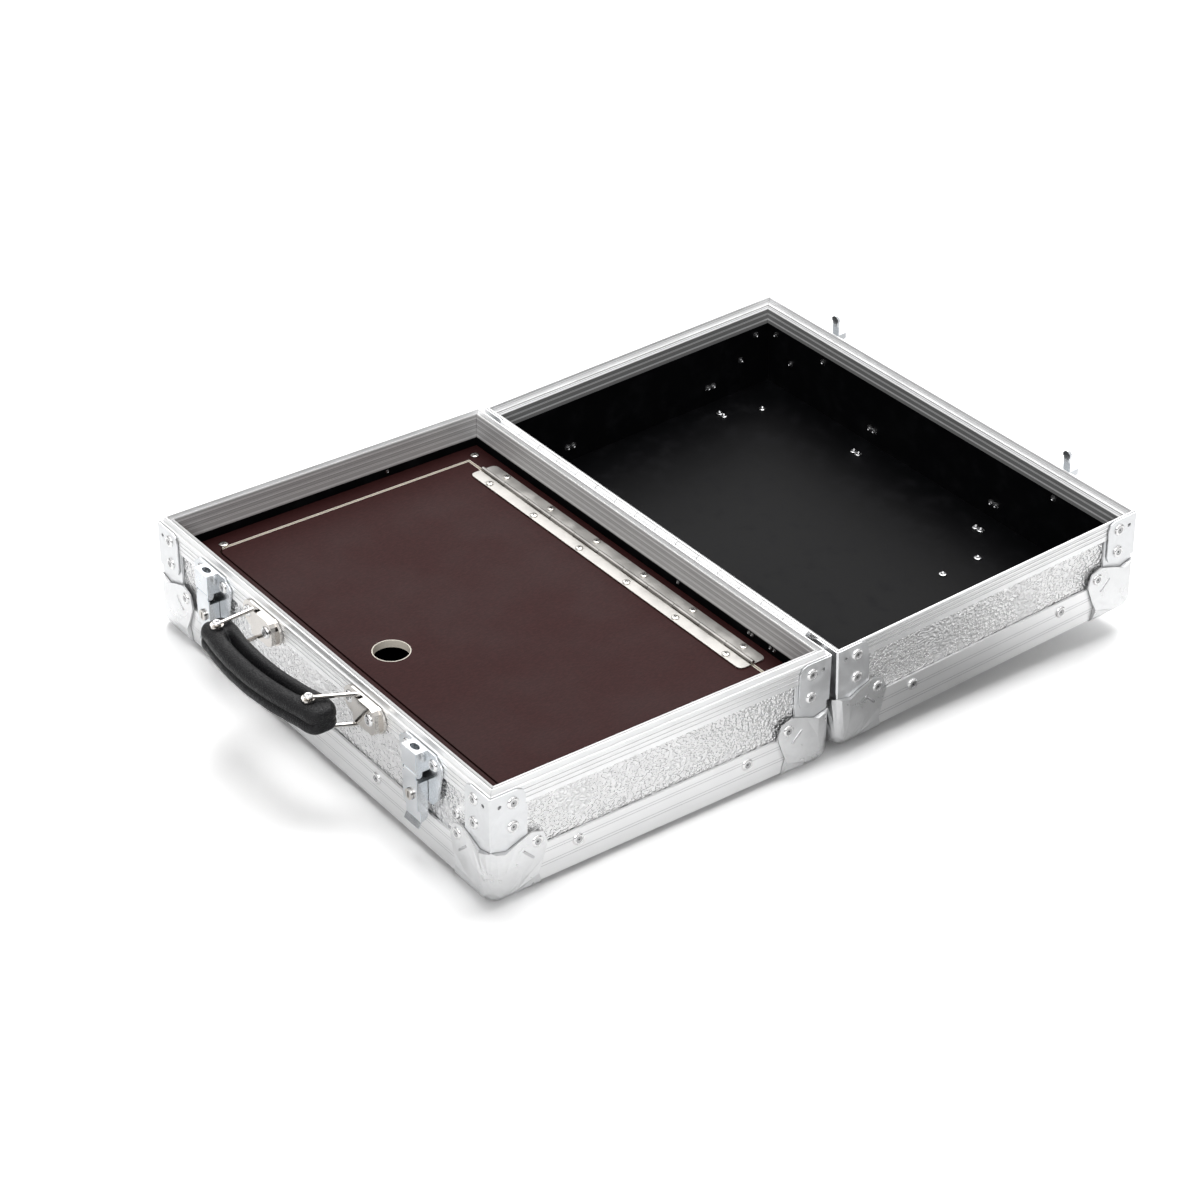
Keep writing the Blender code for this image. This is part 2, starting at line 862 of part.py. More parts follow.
def case_hinge():
    case_leaf(base, "case_hinge_base_leaf", 0, 1)
    case_leaf(lid, "case_hinge_lid_leaf", 1, -1)
    pin = rod(
        bmesh.new(),
        "x",
        (half_depth + hinge_gap / 2, rim_plane),
        case_pin_radius,
        -case_hinge_length / 2,
        case_hinge_length / 2,
        knuckle_sides,
    )
    solid("case_hinge_pin", pin, "steel", base_frame)


# Board with its hatch, the ledge under both and the hatch's hinge
board_level = ball_rise + board_top
tray_inset = skin_inset + panel
board_inset = rim_width + board_side_gap
hatch_axis_y = half_depth - hatch_back
hatch_axis_z = board_level + seat_gap + hatch_knuckle_radius


def window(grow):
    return rounded(
        -half_width + hatch_left - grow,
        half_width - hatch_right + grow,
        -half_depth + hatch_front - grow,
        half_depth - hatch_back + grow,
        (hatch_round + grow, hatch_round + grow, 0, 0),
    )


def board_pieces():
    edge_x, edge_y = half_width - board_inset, half_depth - board_inset
    sheet = block(bmesh.new(), (-edge_x, -edge_y, board_level - board_wall), (edge_x, edge_y, board_level))
    board = solid("board", sheet, "board", base_frame)
    opening = prism(
        bmesh.new(), "z", window(hatch_kerf / 2), board_level - board_wall - overrun, board_level + overrun
    )
    add_tool(board, opening, "DIFFERENCE", "window")
    screws = bmesh.new()
    for hand in (-1, 1):
        for depth in (-half_depth + board_screw_front, half_depth - board_screw_back):
            spot = (hand * (half_width - board_screw_inset_x), depth, board_level)
            dome(screws, spot, (0, 0, 1), board_screw_radius, board_screw_height)
    add_tool(board, screws, "UNION", "screws")

    ledge_top = board_level - board_wall - seat_gap
    ring = block(
        bmesh.new(),
        (-half_width + tray_inset + seat_gap, -half_depth + tray_inset + seat_gap, ledge_top - ledge_wall),
        (half_width - tray_inset - seat_gap, half_depth - tray_inset - seat_gap, ledge_top),
    )
    ledge = solid("board_ledge", ring, "ply", base_frame)
    hollow = block(
        bmesh.new(),
        (-half_width + ledge_side, -half_depth + ledge_front, ledge_top - ledge_wall - overrun),
        (half_width - ledge_side, half_depth - ledge_back, ledge_top + overrun),
    )
    add_tool(ledge, hollow, "DIFFERENCE", "window")

    axis = empty("hatch_axis", (0, hatch_axis_y, hatch_axis_z), base_frame)
    outline = [(x, y - hatch_axis_y) for x, y in window(-hatch_kerf / 2)]
    low = board_level - board_wall - hatch_axis_z
    hatch = solid("hatch", prism(bmesh.new(), "z", outline, low, board_level - hatch_axis_z), "board", axis)
    hole = rod(
        bmesh.new(),
        "z",
        (0, -half_depth + hatch_front + finger_inset - hatch_axis_y),
        finger_radius,
        low - overrun,
        overrun,
        32,
    )
    add_tool(hatch, hole, "DIFFERENCE", "finger_hole")
    return axis


def hatch_leaf(name, parent, side, first, origin):
    """A flat leaf on the board's top, with round outer corners and its share of the knuckles."""
    start = origin[1] + side * (hatch_knuckle_radius + knuckle_gap)
    end = origin[1] + side * hatch_leaf_width
    low_y, high_y = sorted((start, end))
    half_length = hatch_hinge_length / 2
    radii = (0, 0, hatch_leaf_round, hatch_leaf_round) if side > 0 else (hatch_leaf_round, hatch_leaf_round, 0, 0)
    outline = rounded(hatch_hinge_shift - half_length, hatch_hinge_shift + half_length, low_y, high_y, radii)
    floor = origin[2] - hatch_knuckle_radius
    plate = prism(bmesh.new(), "z", outline, floor, floor + hatch_leaf_wall)
    leaf = solid(name, plate, "steel", parent)
    spans = [
        (start_x + hatch_hinge_shift, end_x + hatch_hinge_shift)
        for start_x, end_x in knuckle_spans(hatch_hinge_length, hatch_knuckles, first)
    ]
    necks = bmesh.new()
    for start_x, end_x in spans:
        near, far = sorted((origin[1], origin[1] + side * hatch_leaf_width / 2))
        block(necks, (start_x, near, floor), (end_x, far, floor + hatch_leaf_wall))
    bmesh.ops.recalc_face_normals(necks, faces=necks.faces)
    add_tool(leaf, necks, "UNION", "necks")
    add_tool(
        leaf, knuckles((origin[1], origin[2]), spans, hatch_knuckle_radius, knuckle_sides), "UNION", "knuckles"
    )
    bore = bmesh.new()
    reach = case_hinge_length / 2
    rod(bore, "x", (origin[1], origin[2]), hatch_pin_radius + seat_gap, -reach, reach, knuckle_sides)
    add_tool(leaf, bore, "DIFFERENCE", "bore")
    screws = bmesh.new()
    for index in range(leaf_screw_count):
        x = hatch_hinge_shift + (index - (leaf_screw_count - 1) / 2) * leaf_screw_pitch
        spot = (x, origin[1] + side * leaf_screw_offset, floor + hatch_leaf_wall)
        dome(screws, spot, (0, 0, 1), leaf_screw_radius, leaf_screw_height)
    add_tool(leaf, screws, "UNION", "screws")


def hatch_hinge(axis):
    hatch_leaf("hatch_hinge_fixed_leaf", base_frame, 1, 0, (0, hatch_axis_y, hatch_axis_z))
    hatch_leaf("hatch_hinge_moving_leaf", axis, -1, 1, (0, 0, 0))
    pin = rod(
        bmesh.new(),
        "x",
        (hatch_axis_y, hatch_axis_z),
        hatch_pin_radius,
        hatch_hinge_shift - hatch_hinge_length / 2,
        hatch_hinge_shift + hatch_hinge_length / 2,
        knuckle_sides,
    )
    solid("hatch_hinge_pin", pin, "steel", base_frame)


# Latches: body, lever, key barrel and the cam that hooks the keeper's prong
front_face = -half_depth
latch_skin = front_face - seat_gap
latch_face = latch_skin - latch_plate_wall
prong_y = front_face - prong_depth
box_top = rim_plane - latch_plate_top


def curve_between(start, end, count):
    """Points of a smooth S between two half widths, heights included."""
    points = []
    for step in range(1, count + 1):
        share = step / count
        ease = share * share * (3 - 2 * share)
        points.append((start[0] + (end[0] - start[0]) * ease, start[1] + (end[1] - start[1]) * share))
    return points


def latch_outline():
    top = box_top
    low = top - latch_plate_drop
    half = [(latch_head_half, top)]
    bulge = (latch_bulge_half, top - latch_plate_drop * latch_bulge_share)
    waist = (latch_waist_half, top - latch_plate_drop * latch_waist_share)
    half += curve_between(half[-1], bulge, 3)
    half += curve_between(bulge, waist, 4)
    half += curve_between(waist, (latch_foot_half, low), 2)
    return half + [(-x, z) for x, z in reversed(half)]


def latch(word, x):
    place = (x, 0, 0)
    frame = empty("latch_frame_" + word, place, base_frame)
    outline = latch_outline()
    body = solid(
        "latch_body_" + word, prism(bmesh.new(), "y", outline, latch_face, latch_skin), "steel", frame
    )
    box_front = latch_face - box_depth
    box_low = box_top - box_height
    pivot = (front_face - lever_pivot_depth, box_top - lever_pivot_drop + latch_plate_top)
    box = bmesh.new()
    block(box, (-box_half, box_front, box_low), (box_half, (latch_face + latch_skin) / 2, box_top))
    add_tool(body, box, "UNION", "box")
    cheeks = bmesh.new()
    for hand in (-1, 1):
        outer, inner = sorted((hand * box_half, hand * (box_half - box_wall)))
        swing = arc(pivot, cheek_radius, 180, 360, 4)
        rise = box_low + box_wall
        prism(cheeks, "x", swing + [(swing[-1][0], rise), (swing[0][0], rise)], outer, inner)
    bmesh.ops.recalc_face_normals(cheeks, faces=cheeks.faces)
    add_tool(body, cheeks, "UNION", "cheeks")
    inside = bmesh.new()
    block(
        inside,
        (-box_half + box_wall, box_front + box_wall, box_low - overrun / 2),
        (box_half - box_wall, latch_face, box_top - box_wall),
    )
    add_tool(body, inside, "DIFFERENCE", "inside")
    mouth = bmesh.new()
    reach = box_wall + overrun / 2
    rod(mouth, "z", (0, 0), box_hole_x, -reach, reach, 20)
    scale = Matrix.Diagonal((1, box_hole_y / box_hole_x, 1, 1))
    bmesh.ops.transform(mouth, matrix=Matrix.Translation((0, prong_y, box_top)) @ scale, verts=mouth.verts)
    add_tool(body, mouth, "DIFFERENCE", "mouth")
    pins = bmesh.new()
    rod(pins, "x", pivot, lever_pin_radius, -box_half + box_wall / 2, box_half - box_wall / 2, knuckle_sides)
    cam_pivot = (cam_pivot_x, box_top - cam_pivot_drop)
    rod(pins, "y", cam_pivot, cam_pin_radius, box_front + box_wall / 2, (latch_face + latch_skin) / 2, knuckle_sides)
    bmesh.ops.recalc_face_normals(pins, faces=pins.faces)
    add_tool(body, pins, "UNION", "pins")
    rivets = bmesh.new()
    for hand in (-1, 1):
        spot = (hand * latch_rivet_offset, latch_face, rim_plane - latch_rivet_drop)
        dome(rivets, spot, (0, -1, 0), sides=10)
    add_tool(body, rivets, "UNION", "rivets")

    lever_axis = empty("lever_axis_" + word, (0, pivot[0], pivot[1]), frame)
    latch_lever(word, lever_axis, box_front, pivot)
    latch_cam(word, frame, cam_pivot)


def latch_lever(word, axis, box_front, pivot):
    front = -lever_barrel_radius
    back = latch_face - lever_back_gap - pivot[0]
    sheet = [
        (front, 0),
        (front, -lip_drop),
        (front + lip_step, -lip_drop - lip_slope),
        (front + lip_step, -curl_drop),
        (front - curl_reach + lip_step, -lever_drop),
    ]
    thick = [(y + lever_wall, z) for y, z in sheet]
    shape = prism(bmesh.new(), "x", sheet + thick[::-1], -box_half, box_half)
    lever = solid("latch_lever_" + word, shape, "steel", axis)
    flanges = bmesh.new()
    for hand in (-1, 1):
        outer, inner = sorted((hand * box_half, hand * (box_half - lever_wall)))
        outline = [
            (front + lever_wall / 2, -lever_flange_drop),
            (back, -lever_flange_drop),
        ]
        outline += arc((back - flange_round, -curl_drop + flange_round), flange_round, 0, -90, 3)
        outline += [(front + lip_step + lever_wall / 2, -curl_drop)]
        outline += [(front + lip_step + lever_wall / 2, -lip_drop - lip_slope), (front + lever_wall / 2, -lip_drop)]
        prism(flanges, "x", outline, outer, inner)
    bmesh.ops.recalc_face_normals(flanges, faces=flanges.faces)
    add_tool(lever, flanges, "UNION", "flanges")
    barrel = bmesh.new()
    width = box_half - box_wall - seat_gap
    rod(barrel, "x", (0, 0), lever_barrel_radius, -width, width, 12)
    notch = bmesh.new()
    for hand in (-1, 1):
        outer, inner = sorted((hand * (box_half + overrun), hand * width))
        low = -cheek_radius - 2 * seat_gap
        block(notch, (outer, front - overrun, low), (inner, back + overrun, overrun))
    bmesh.ops.recalc_face_normals(notch, faces=notch.faces)
    add_tool(lever, notch, "DIFFERENCE", "notch")
    add_tool(lever, barrel, "UNION", "barrel")
    bore = rod(bmesh.new(), "x", (0, 0), lever_pin_radius + seat_gap, -width - overrun, width + overrun, 10)
    add_tool(lever, bore, "DIFFERENCE", "bore")
    level = -key_drop
    hole = rod(
        bmesh.new(), "y", (0, level), key_radius + seat_gap, front - overrun, front + lever_wall + overrun, 20
    )
    add_tool(lever, hole, "DIFFERENCE", "key_hole")

    key_axis = empty("key_axis_" + word, (0, 0, level), axis)
    start = front - key_proud
    barrel = rod(bmesh.new(), "y", (0, 0), key_radius, start, start + key_length, 20)
    key = solid("key_barrel_" + word, barrel, "nickel", key_axis, smooth=40)
    slot = block(
        bmesh.new(),
        (-key_slot_width / 2, start - overrun, -key_slot_length / 2),
        (key_slot_width / 2, start + key_slot_depth, key_slot_length / 2),
    )
    add_tool(key, slot, "DIFFERENCE", "slot")
    tongue = block(
        bmesh.new(),
        (-key_cam_half, start + key_length - key_cam_wall, -key_cam_reach),
        (key_cam_half, start + key_length + key_cam_wall / 2, 0),
    )
    add_tool(key, tongue, "UNION", "tongue")


def latch_cam(word, frame, pivot):
    axis = empty("cam_axis_" + word, (pivot[0], prong_y, pivot[1]), frame)
    nose_low = rim_plane - prong_shoulder - pivot[1] + seat_gap
    eye = rod(bmesh.new(), "y", (0, 0), cam_eye_radius, -cam_wall / 2, cam_wall / 2, 14)
    cam = solid("latch_cam_" + word, eye, "steel", axis, smooth=40)
    inner, outer = cam_arm_inner - pivot[0], cam_arm_outer - pivot[0]
    nose = cam_nose_reach - pivot[0]
    tail = -cam_tail_reach - pivot[0]
    outline = [
        (outer, 0),
        (outer, nose_low + cam_nose_wall),
        (inner, nose_low + cam_nose_wall),
        (nose, nose_low + cam_nose_wall / 2),
        (nose, nose_low),
        (inner, nose_low),
        (inner, 0),
    ]
    arm = prism(bmesh.new(), "y", outline, -cam_wall / 2, cam_wall / 2)
    add_tool(cam, arm, "UNION", "arm")
    finger = block(bmesh.new(), (tail, -cam_wall / 2, -cam_tail_low), (0, cam_wall / 2, -cam_tail_top))
    add_tool(cam, finger, "UNION", "tail")
    bore = rod(bmesh.new(), "y", (0, 0), cam_pin_radius + seat_gap, -cam_wall - overrun, cam_wall + overrun, 10)
    add_tool(cam, bore, "DIFFERENCE", "bore")


# Keepers: a bent bracket on the lid whose barbed prong drops into the latch
def keeper(word, x):
    frame = empty("keeper_frame_" + word, (x, 0, 0), lid_frame)
    face = lid["far"]
    top = lid["rim"] - keeper_rim_gap
    near, leg = face + seat_gap, face + seat_gap + keeper_wall
    reach = face + keeper_reach
    section = [
        (near, top),
        (reach, top),
        (reach, top - keeper_wall),
        (leg, top - keeper_wall),
        (leg, lid["rim"] - keeper_leg),
        (near, lid["rim"] - keeper_leg),
    ]
    item = solid(
        "keeper_" + word, prism(bmesh.new(), "x", section, -keeper_half, keeper_half), "steel", frame
    )
    cheeks = bmesh.new()
    for hand in (-1, 1):
        outer, inner = sorted((hand * keeper_half, hand * (keeper_half - keeper_wall)))
        outline = [
            (leg - keeper_wall / 2, top - keeper_wall / 2),
            (reach, top - keeper_wall / 2),
            (reach, top - keeper_cheek / 2),
            (leg - keeper_wall / 2, top - keeper_cheek),
        ]
        prism(cheeks, "x", outline, outer, inner)
    bmesh.ops.recalc_face_normals(cheeks, faces=cheeks.faces)
    add_tool(item, cheeks, "UNION", "cheeks")
    head_end = prong_shoulder + prong_head
    prong = [
        (-prong_neck_half, top - keeper_wall / 2),
        (prong_neck_half, top - keeper_wall / 2),
        (prong_neck_half, prong_shoulder),
        (prong_head_half, prong_shoulder),
        (prong_head_half, head_end),
        (prong_tip_half, head_end + prong_tip),
        (-prong_tip_half, head_end + prong_tip),
        (-prong_head_half, head_end),
        (-prong_head_half, prong_shoulder),
        (-prong_neck_half, prong_shoulder),
    ]
    middle = face + prong_depth
    shape = prism(bmesh.new(), "y", prong, middle - prong_wall / 2, middle + prong_wall / 2)
    add_tool(item, shape, "UNION", "prong")
    rivet = dome(bmesh.new(), (0, leg, lid["rim"] - keeper_rivet_drop), (0, 1, 0), sides=10)
    add_tool(item, rivet, "UNION", "rivet")


# Handle: two wire bails in riveted brackets, pinned to the padded grip
bracket_level = rim_plane - bracket_drop
bar_y = front_face - bail_depth
arm_offset = bracket_height / 2 + seat_gap + bail_wire


def grip_pin_places():
    """Where the grip's two pins lie when the left bail stands at its rest angle."""
    left = Vector((bail_shift - bail_pitch / 2, bar_y))
    right = Vector((bail_shift + bail_pitch / 2, bar_y))
    first = left + bail_arm * Vector((math.sin(bail_rest), -math.cos(bail_rest)))
    gap = right - first
    along = (grip_pin_pitch**2 - bail_arm**2 + gap.length_squared) / (2 * gap.length)
    aside = math.sqrt(grip_pin_pitch**2 - along**2)
    forward = gap.normalized()
    second = first + forward * along + Vector((forward.y, -forward.x)) * aside
    return left, right, first, second


def smooth_corner(points, radius, steps):
    """Rounds each inner corner of a path."""
    path = [points[0]]
    for before, corner, after in zip(points, points[1:], points[2:]):
        start = corner + (before - corner).normalized() * radius
        end = corner + (after - corner).normalized() * radius
        for step in range(steps + 1):
            share = step / steps
            path.append(start.lerp(corner, share).lerp(corner.lerp(end, share), share))
    path.append(points[-1])
    return path


def bail(word, bar, pin, parent, origin):
    """A wire bent round the bracket, with an eyelet over and under the grip."""
    points = []
    for x, y, height in (
        (pin.x, pin.y, arm_offset),
        (bar.x, bar.y, arm_offset),
        (bar.x, bar.y, -arm_offset),
        (pin.x, pin.y, -arm_offset),
    ):
        points.append(Vector((x, y, bracket_level + height)) - Vector(origin))
    path = smooth_corner(points, bail_bend, bail_bend_steps)
    curve = bpy.data.curves.new("bail_wire_" + word, "CURVE")
    curve.dimensions = "3D"
    curve.bevel_depth = bail_wire
    curve.bevel_resolution = bail_sides // 4
    curve.use_fill_caps = True
    line = curve.splines.new("POLY")
    line.points.add(len(path) - 1)
    for point, place in zip(line.points, path):
        point.co = (*place, 1)
    wire = bpy.data.objects.new("bail_path_" + word, curve)
    bpy.context.collection.objects.link(wire)
    bpy.context.view_layer.update()
    mesh = bpy.data.meshes.new_from_object(wire.evaluated_get(bpy.context.evaluated_depsgraph_get()))
    bpy.data.objects.remove(wire, do_unlink=True)
    bpy.data.curves.remove(curve)
    shape = bmesh.new()
    shape.from_mesh(mesh)
    bpy.data.meshes.remove(mesh)
    item = solid("bail_" + word, shape, "nickel", parent, smooth=50)
    centre = (pin.x - origin[0], pin.y - origin[1])
    level = bracket_level - origin[2]
    eyelets = bmesh.new()
    for hand in (-1, 1):
        inner = arm_offset - eyelet_wall / 2 - (bail_wire - eyelet_wall / 2)
        low, high = sorted((level + hand * inner, level + hand * (inner + eyelet_wall)))
        rod(eyelets, "z", centre, eyelet_radius, low, high, 14)
    bmesh.ops.recalc_face_normals(eyelets, faces=eyelets.faces)
    add_tool(item, eyelets, "UNION", "eyelets")
    shaft = bmesh.new()
    top = arm_offset + bail_wire / 2
    rod(shaft, "z", centre, handle_pin_radius, level - top, level + top, 10)
    add_tool(item, shaft, "UNION", "pin")
    return item


def grip_section(across_share, up_share, groove_share):
    """Cross-section of the padded grip, in shares of its half depth and half height."""
    shares = (
        (0.90, -0.06),
        (1.00, 0.20),
        (0.96, 0.66),
        (0.72, 0.97),
        (0.42, 0.97),
        (0.15, groove_share),
        (-0.14, 0.96),
        (-0.46, 1.00),
        (-0.80, 0.86),
        (-0.97, 0.46),
        (-0.93, 0.12),
        (-0.80, -0.09),
        (-0.97, -0.28),
        (-1.00, -0.56),
        (-0.84, -0.90),
        (-0.30, -1.00),
        (0.40, -1.00),
        (0.86, -0.84),
        (1.00, -0.38),
    )
    return [(across * across_share, up * up_share) for across, up in shares]


def grip(first, second, parent):
    along = second - first
    half_height = arm_offset - bail_wire - seat_gap
    middle = grip_pin_pitch / 2
    reach_left = middle + grip_over_left
    reach_right = middle + grip_over_right
    shape = bmesh.new()
    end_shares = ((1.0, 0.42, 0.74, 0.95), (0.975, 0.70, 0.90, 0.95), (0.92, 0.89, 0.98, 0.94), (0.83, 1.0, 1.0, 0.92))
    inner_shares = ((0.66, 1.0, 1.0, 0.72), (0.40, 1.0, 1.0, 0.58), (0.13, 1.0, 1.0, 0.56))
    half = list(end_shares + inner_shares)
    stations = [(-where * reach_left, *sizes) for where, *sizes in half]
    stations += [(where * reach_right, *sizes) for where, *sizes in reversed(half)]
    rings = []
    for place, *sizes in stations:
        bow = grip_end_shift - grip_bow * (1 - min(1, abs(place) / middle) ** 2)
        ring = []
        for across, up in grip_section(*sizes):
            ring.append(shape.verts.new((middle + place, bow + across * grip_half_depth, up * half_height)))
        rings.append(ring)
    for near, far in zip(rings, rings[1:]):
        for index in range(len(near)):
            after = (index + 1) % len(near)
            shape.faces.new((near[index], near[after], far[after], far[index]))
    shape.faces.new(rings[0])
    shape.faces.new(rings[-1][::-1])
    bmesh.ops.recalc_face_normals(shape, faces=shape.faces)
    item = solid("grip", shape, "leather", parent, smooth=60)
    item.rotation_euler.z = math.atan2(along.y, along.x)
    holes = bmesh.new()
    for x in (0, grip_pin_pitch):
        rod(holes, "z", (x, 0), handle_pin_radius + handle_pin_gap, -half_height - overrun, half_height + overrun, 12)
    bmesh.ops.recalc_face_normals(holes, faces=holes.faces)
    tool = add_tool(item, holes, "DIFFERENCE", "pin_holes")
    tool.rotation_euler.z = item.rotation_euler.z
    return item


def bracket(word, bar):
    frame = empty("bracket_frame_" + word, (bar.x, front_face, bracket_level), base_frame)
    half_height = bracket_height / 2
    outline = rounded(-bracket_left, bracket_right, -half_height, half_height, [bracket_round] * 4, 4)
    plate = prism(bmesh.new(), "y", outline, -seat_gap - bracket_wall, -seat_gap)
    item = solid("handle_bracket_" + word, plate, "nickel", frame)
    inner = -bail_depth - bail_wire - seat_gap
    cover = inner - cover_wall
    raised = rounded(-cover_left, cover_right, -half_height, half_height, (0, cover_round, cover_round, 0), 3)
    pad = prism(bmesh.new(), "y", raised, cover, -seat_gap - bracket_wall / 2)
    add_tool(item, pad, "UNION", "cover")
    pocket = block(
        bmesh.new(),
        (-pocket_left, inner, -half_height - overrun),
        (pocket_right, -seat_gap - bracket_wall, half_height + overrun),
    )
    add_tool(item, pocket, "DIFFERENCE", "pocket")
    rivets = bmesh.new()
    low = rim_plane - bracket_rivet_drop - bracket_level - (half_height - bracket_rivet_drop) / 2
    dome(rivets, (-bracket_rivet_left, -seat_gap - bracket_wall, low), (0, -1, 0), sides=10)
    dome(rivets, (bracket_rivet_right, cover, low), (0, -1, 0), sides=10)
    add_tool(item, rivets, "UNION", "rivets")


def handle():
    left_bar, right_bar, first, second = grip_pin_places()
    bracket("left", left_bar)
    bracket("right", right_bar)
    left_axis = empty("bail_axis_left", (left_bar.x, left_bar.y, bracket_level), base_frame)
    bail("left", left_bar, first, left_axis, (left_bar.x, left_bar.y, bracket_level))
    grip_axis = empty("grip_axis", (first.x, first.y, bracket_level), base_frame)
    grip(first, second, grip_axis)
    right_axis = empty("bail_axis_right", (second.x, second.y, bracket_level), base_frame)
    bail("right", right_bar, second, right_axis, (second.x, second.y, bracket_level))


tray(base, rim_web, [(half_width - wall_rivet_inset, wall_rivet_height)])
tray(lid, groove_depth + lid_web)
rims(base, base_rim_section())
rims(lid, lid_rim_section())
for half in (base, lid):
    edge_angles(half)
    corner_posts(half)
    ball_corners(half)
case_hinge()
hatch_hinge(board_pieces())
for word, x in (("left", -latch_spread), ("right", latch_spread)):
    latch(word, x)
    keeper(word, x)
handle()

bpy.context.view_layer.update()
for item in bpy.data.objects:
    if item.type == "EMPTY":
        print("axis", item.name, [round(value, 6) for value in item.matrix_world.translation])
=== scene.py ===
import math

import bmesh
import bpy
from mathutils import Matrix, Vector


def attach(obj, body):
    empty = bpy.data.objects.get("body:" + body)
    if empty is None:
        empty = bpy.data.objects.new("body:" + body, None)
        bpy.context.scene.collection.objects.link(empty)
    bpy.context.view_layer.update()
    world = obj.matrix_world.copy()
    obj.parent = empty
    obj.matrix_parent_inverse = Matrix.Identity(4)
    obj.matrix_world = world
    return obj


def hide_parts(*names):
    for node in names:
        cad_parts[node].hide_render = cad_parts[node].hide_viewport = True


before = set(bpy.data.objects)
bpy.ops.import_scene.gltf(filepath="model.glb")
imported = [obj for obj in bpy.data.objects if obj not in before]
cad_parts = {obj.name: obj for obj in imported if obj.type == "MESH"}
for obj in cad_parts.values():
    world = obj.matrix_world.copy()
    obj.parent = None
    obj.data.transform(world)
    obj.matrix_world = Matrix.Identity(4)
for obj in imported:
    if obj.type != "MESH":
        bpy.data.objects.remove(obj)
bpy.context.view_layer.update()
print("stage: frame loaded,", len(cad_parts), "nodes")

# Where the two halves lie, in metres. Each half has its floor below and its rim on top
caseSizes = {
    "halfWidth": 0.1992,
    "halfDepth": 0.1342,
    "centreY": -0.1168,
    "rimLevel": 0.0825,
    "floorRise": 0.0032,
    "lidHeight": 0.0761,
    "lidNear": 0.00325,
    "lidTilt": math.radians(2.65),
    "hinge": (0.0, 0.02065, 0.0825),
    "wall": 0.0040,
}
tilt = caseSizes["lidTilt"]
hinge = Vector(caseSizes["hinge"])
lidNear = caseSizes["lidNear"]
halfDepth = caseSizes["halfDepth"]
frontFace = caseSizes["centreY"] - halfDepth
rearFace = caseSizes["centreY"] + halfDepth
halves = {
    "base": {
        "move": Matrix.Translation((0, caseSizes["centreY"], 0)),
        "near": -halfDepth,
        "far": halfDepth,
        "low": caseSizes["floorRise"],
        "rim": caseSizes["rimLevel"],
    },
    "lid": {
        "move": Matrix.Translation(hinge) @ Matrix.Rotation(tilt, 4, "X"),
        "near": lidNear,
        "far": lidNear + 2 * halfDepth,
        "low": -caseSizes["lidHeight"],
        "rim": 0.0,
    },
}


# Shader nodes written as sums

def addNode(tree, kind, settings, values=()):
    made = tree.nodes.new(kind)
    for key, value in settings.items():
        setattr(made, key, value)
    for key, value in (values.items() if isinstance(values, dict) else enumerate(values)):
        if isinstance(value, bpy.types.NodeSocket):
            tree.links.new(value, made.inputs[key])
        else:
            made.inputs[key].default_value = value
    return made


class Wire:
    def __init__(self, finish, socket):
        self.finish = finish
        self.socket = socket

    def maths(self, operation, *values):
        return self.finish.node("ShaderNodeMath", {"operation": operation}, list(values))

    def __add__(self, other):
        return self.maths("ADD", self, other)

    def __sub__(self, other):
        return self.maths("SUBTRACT", self, other)

    def __rsub__(self, other):
        return self.maths("SUBTRACT", other, self)

    def __mul__(self, other):
        return self.maths("MULTIPLY", self, other)

    def __truediv__(self, other):
        return self.maths("DIVIDE", self, other)

    def __gt__(self, other):
        return self.maths("GREATER_THAN", self, other)

    def __lt__(self, other):
        return self.maths("LESS_THAN", self, other)

    def size(self):
        return self.maths("ABSOLUTE", self)

    def root(self):
        return self.maths("POWER", self, 0.5)

    def fraction(self):
        return self.maths("FRACT", self)

    def least(self, other):
        return self.maths("MINIMUM", self, other)

    def most(self, other):
        return self.maths("MAXIMUM", self, other)

    def spread(self, low, high, toLow=0.0, toHigh=1.0):  # low..high becomes toLow..toHigh
        settings = {"interpolation_type": "SMOOTHSTEP"}
        return self.finish.node("ShaderNodeMapRange", settings, [self, low, high, toLow, toHigh])


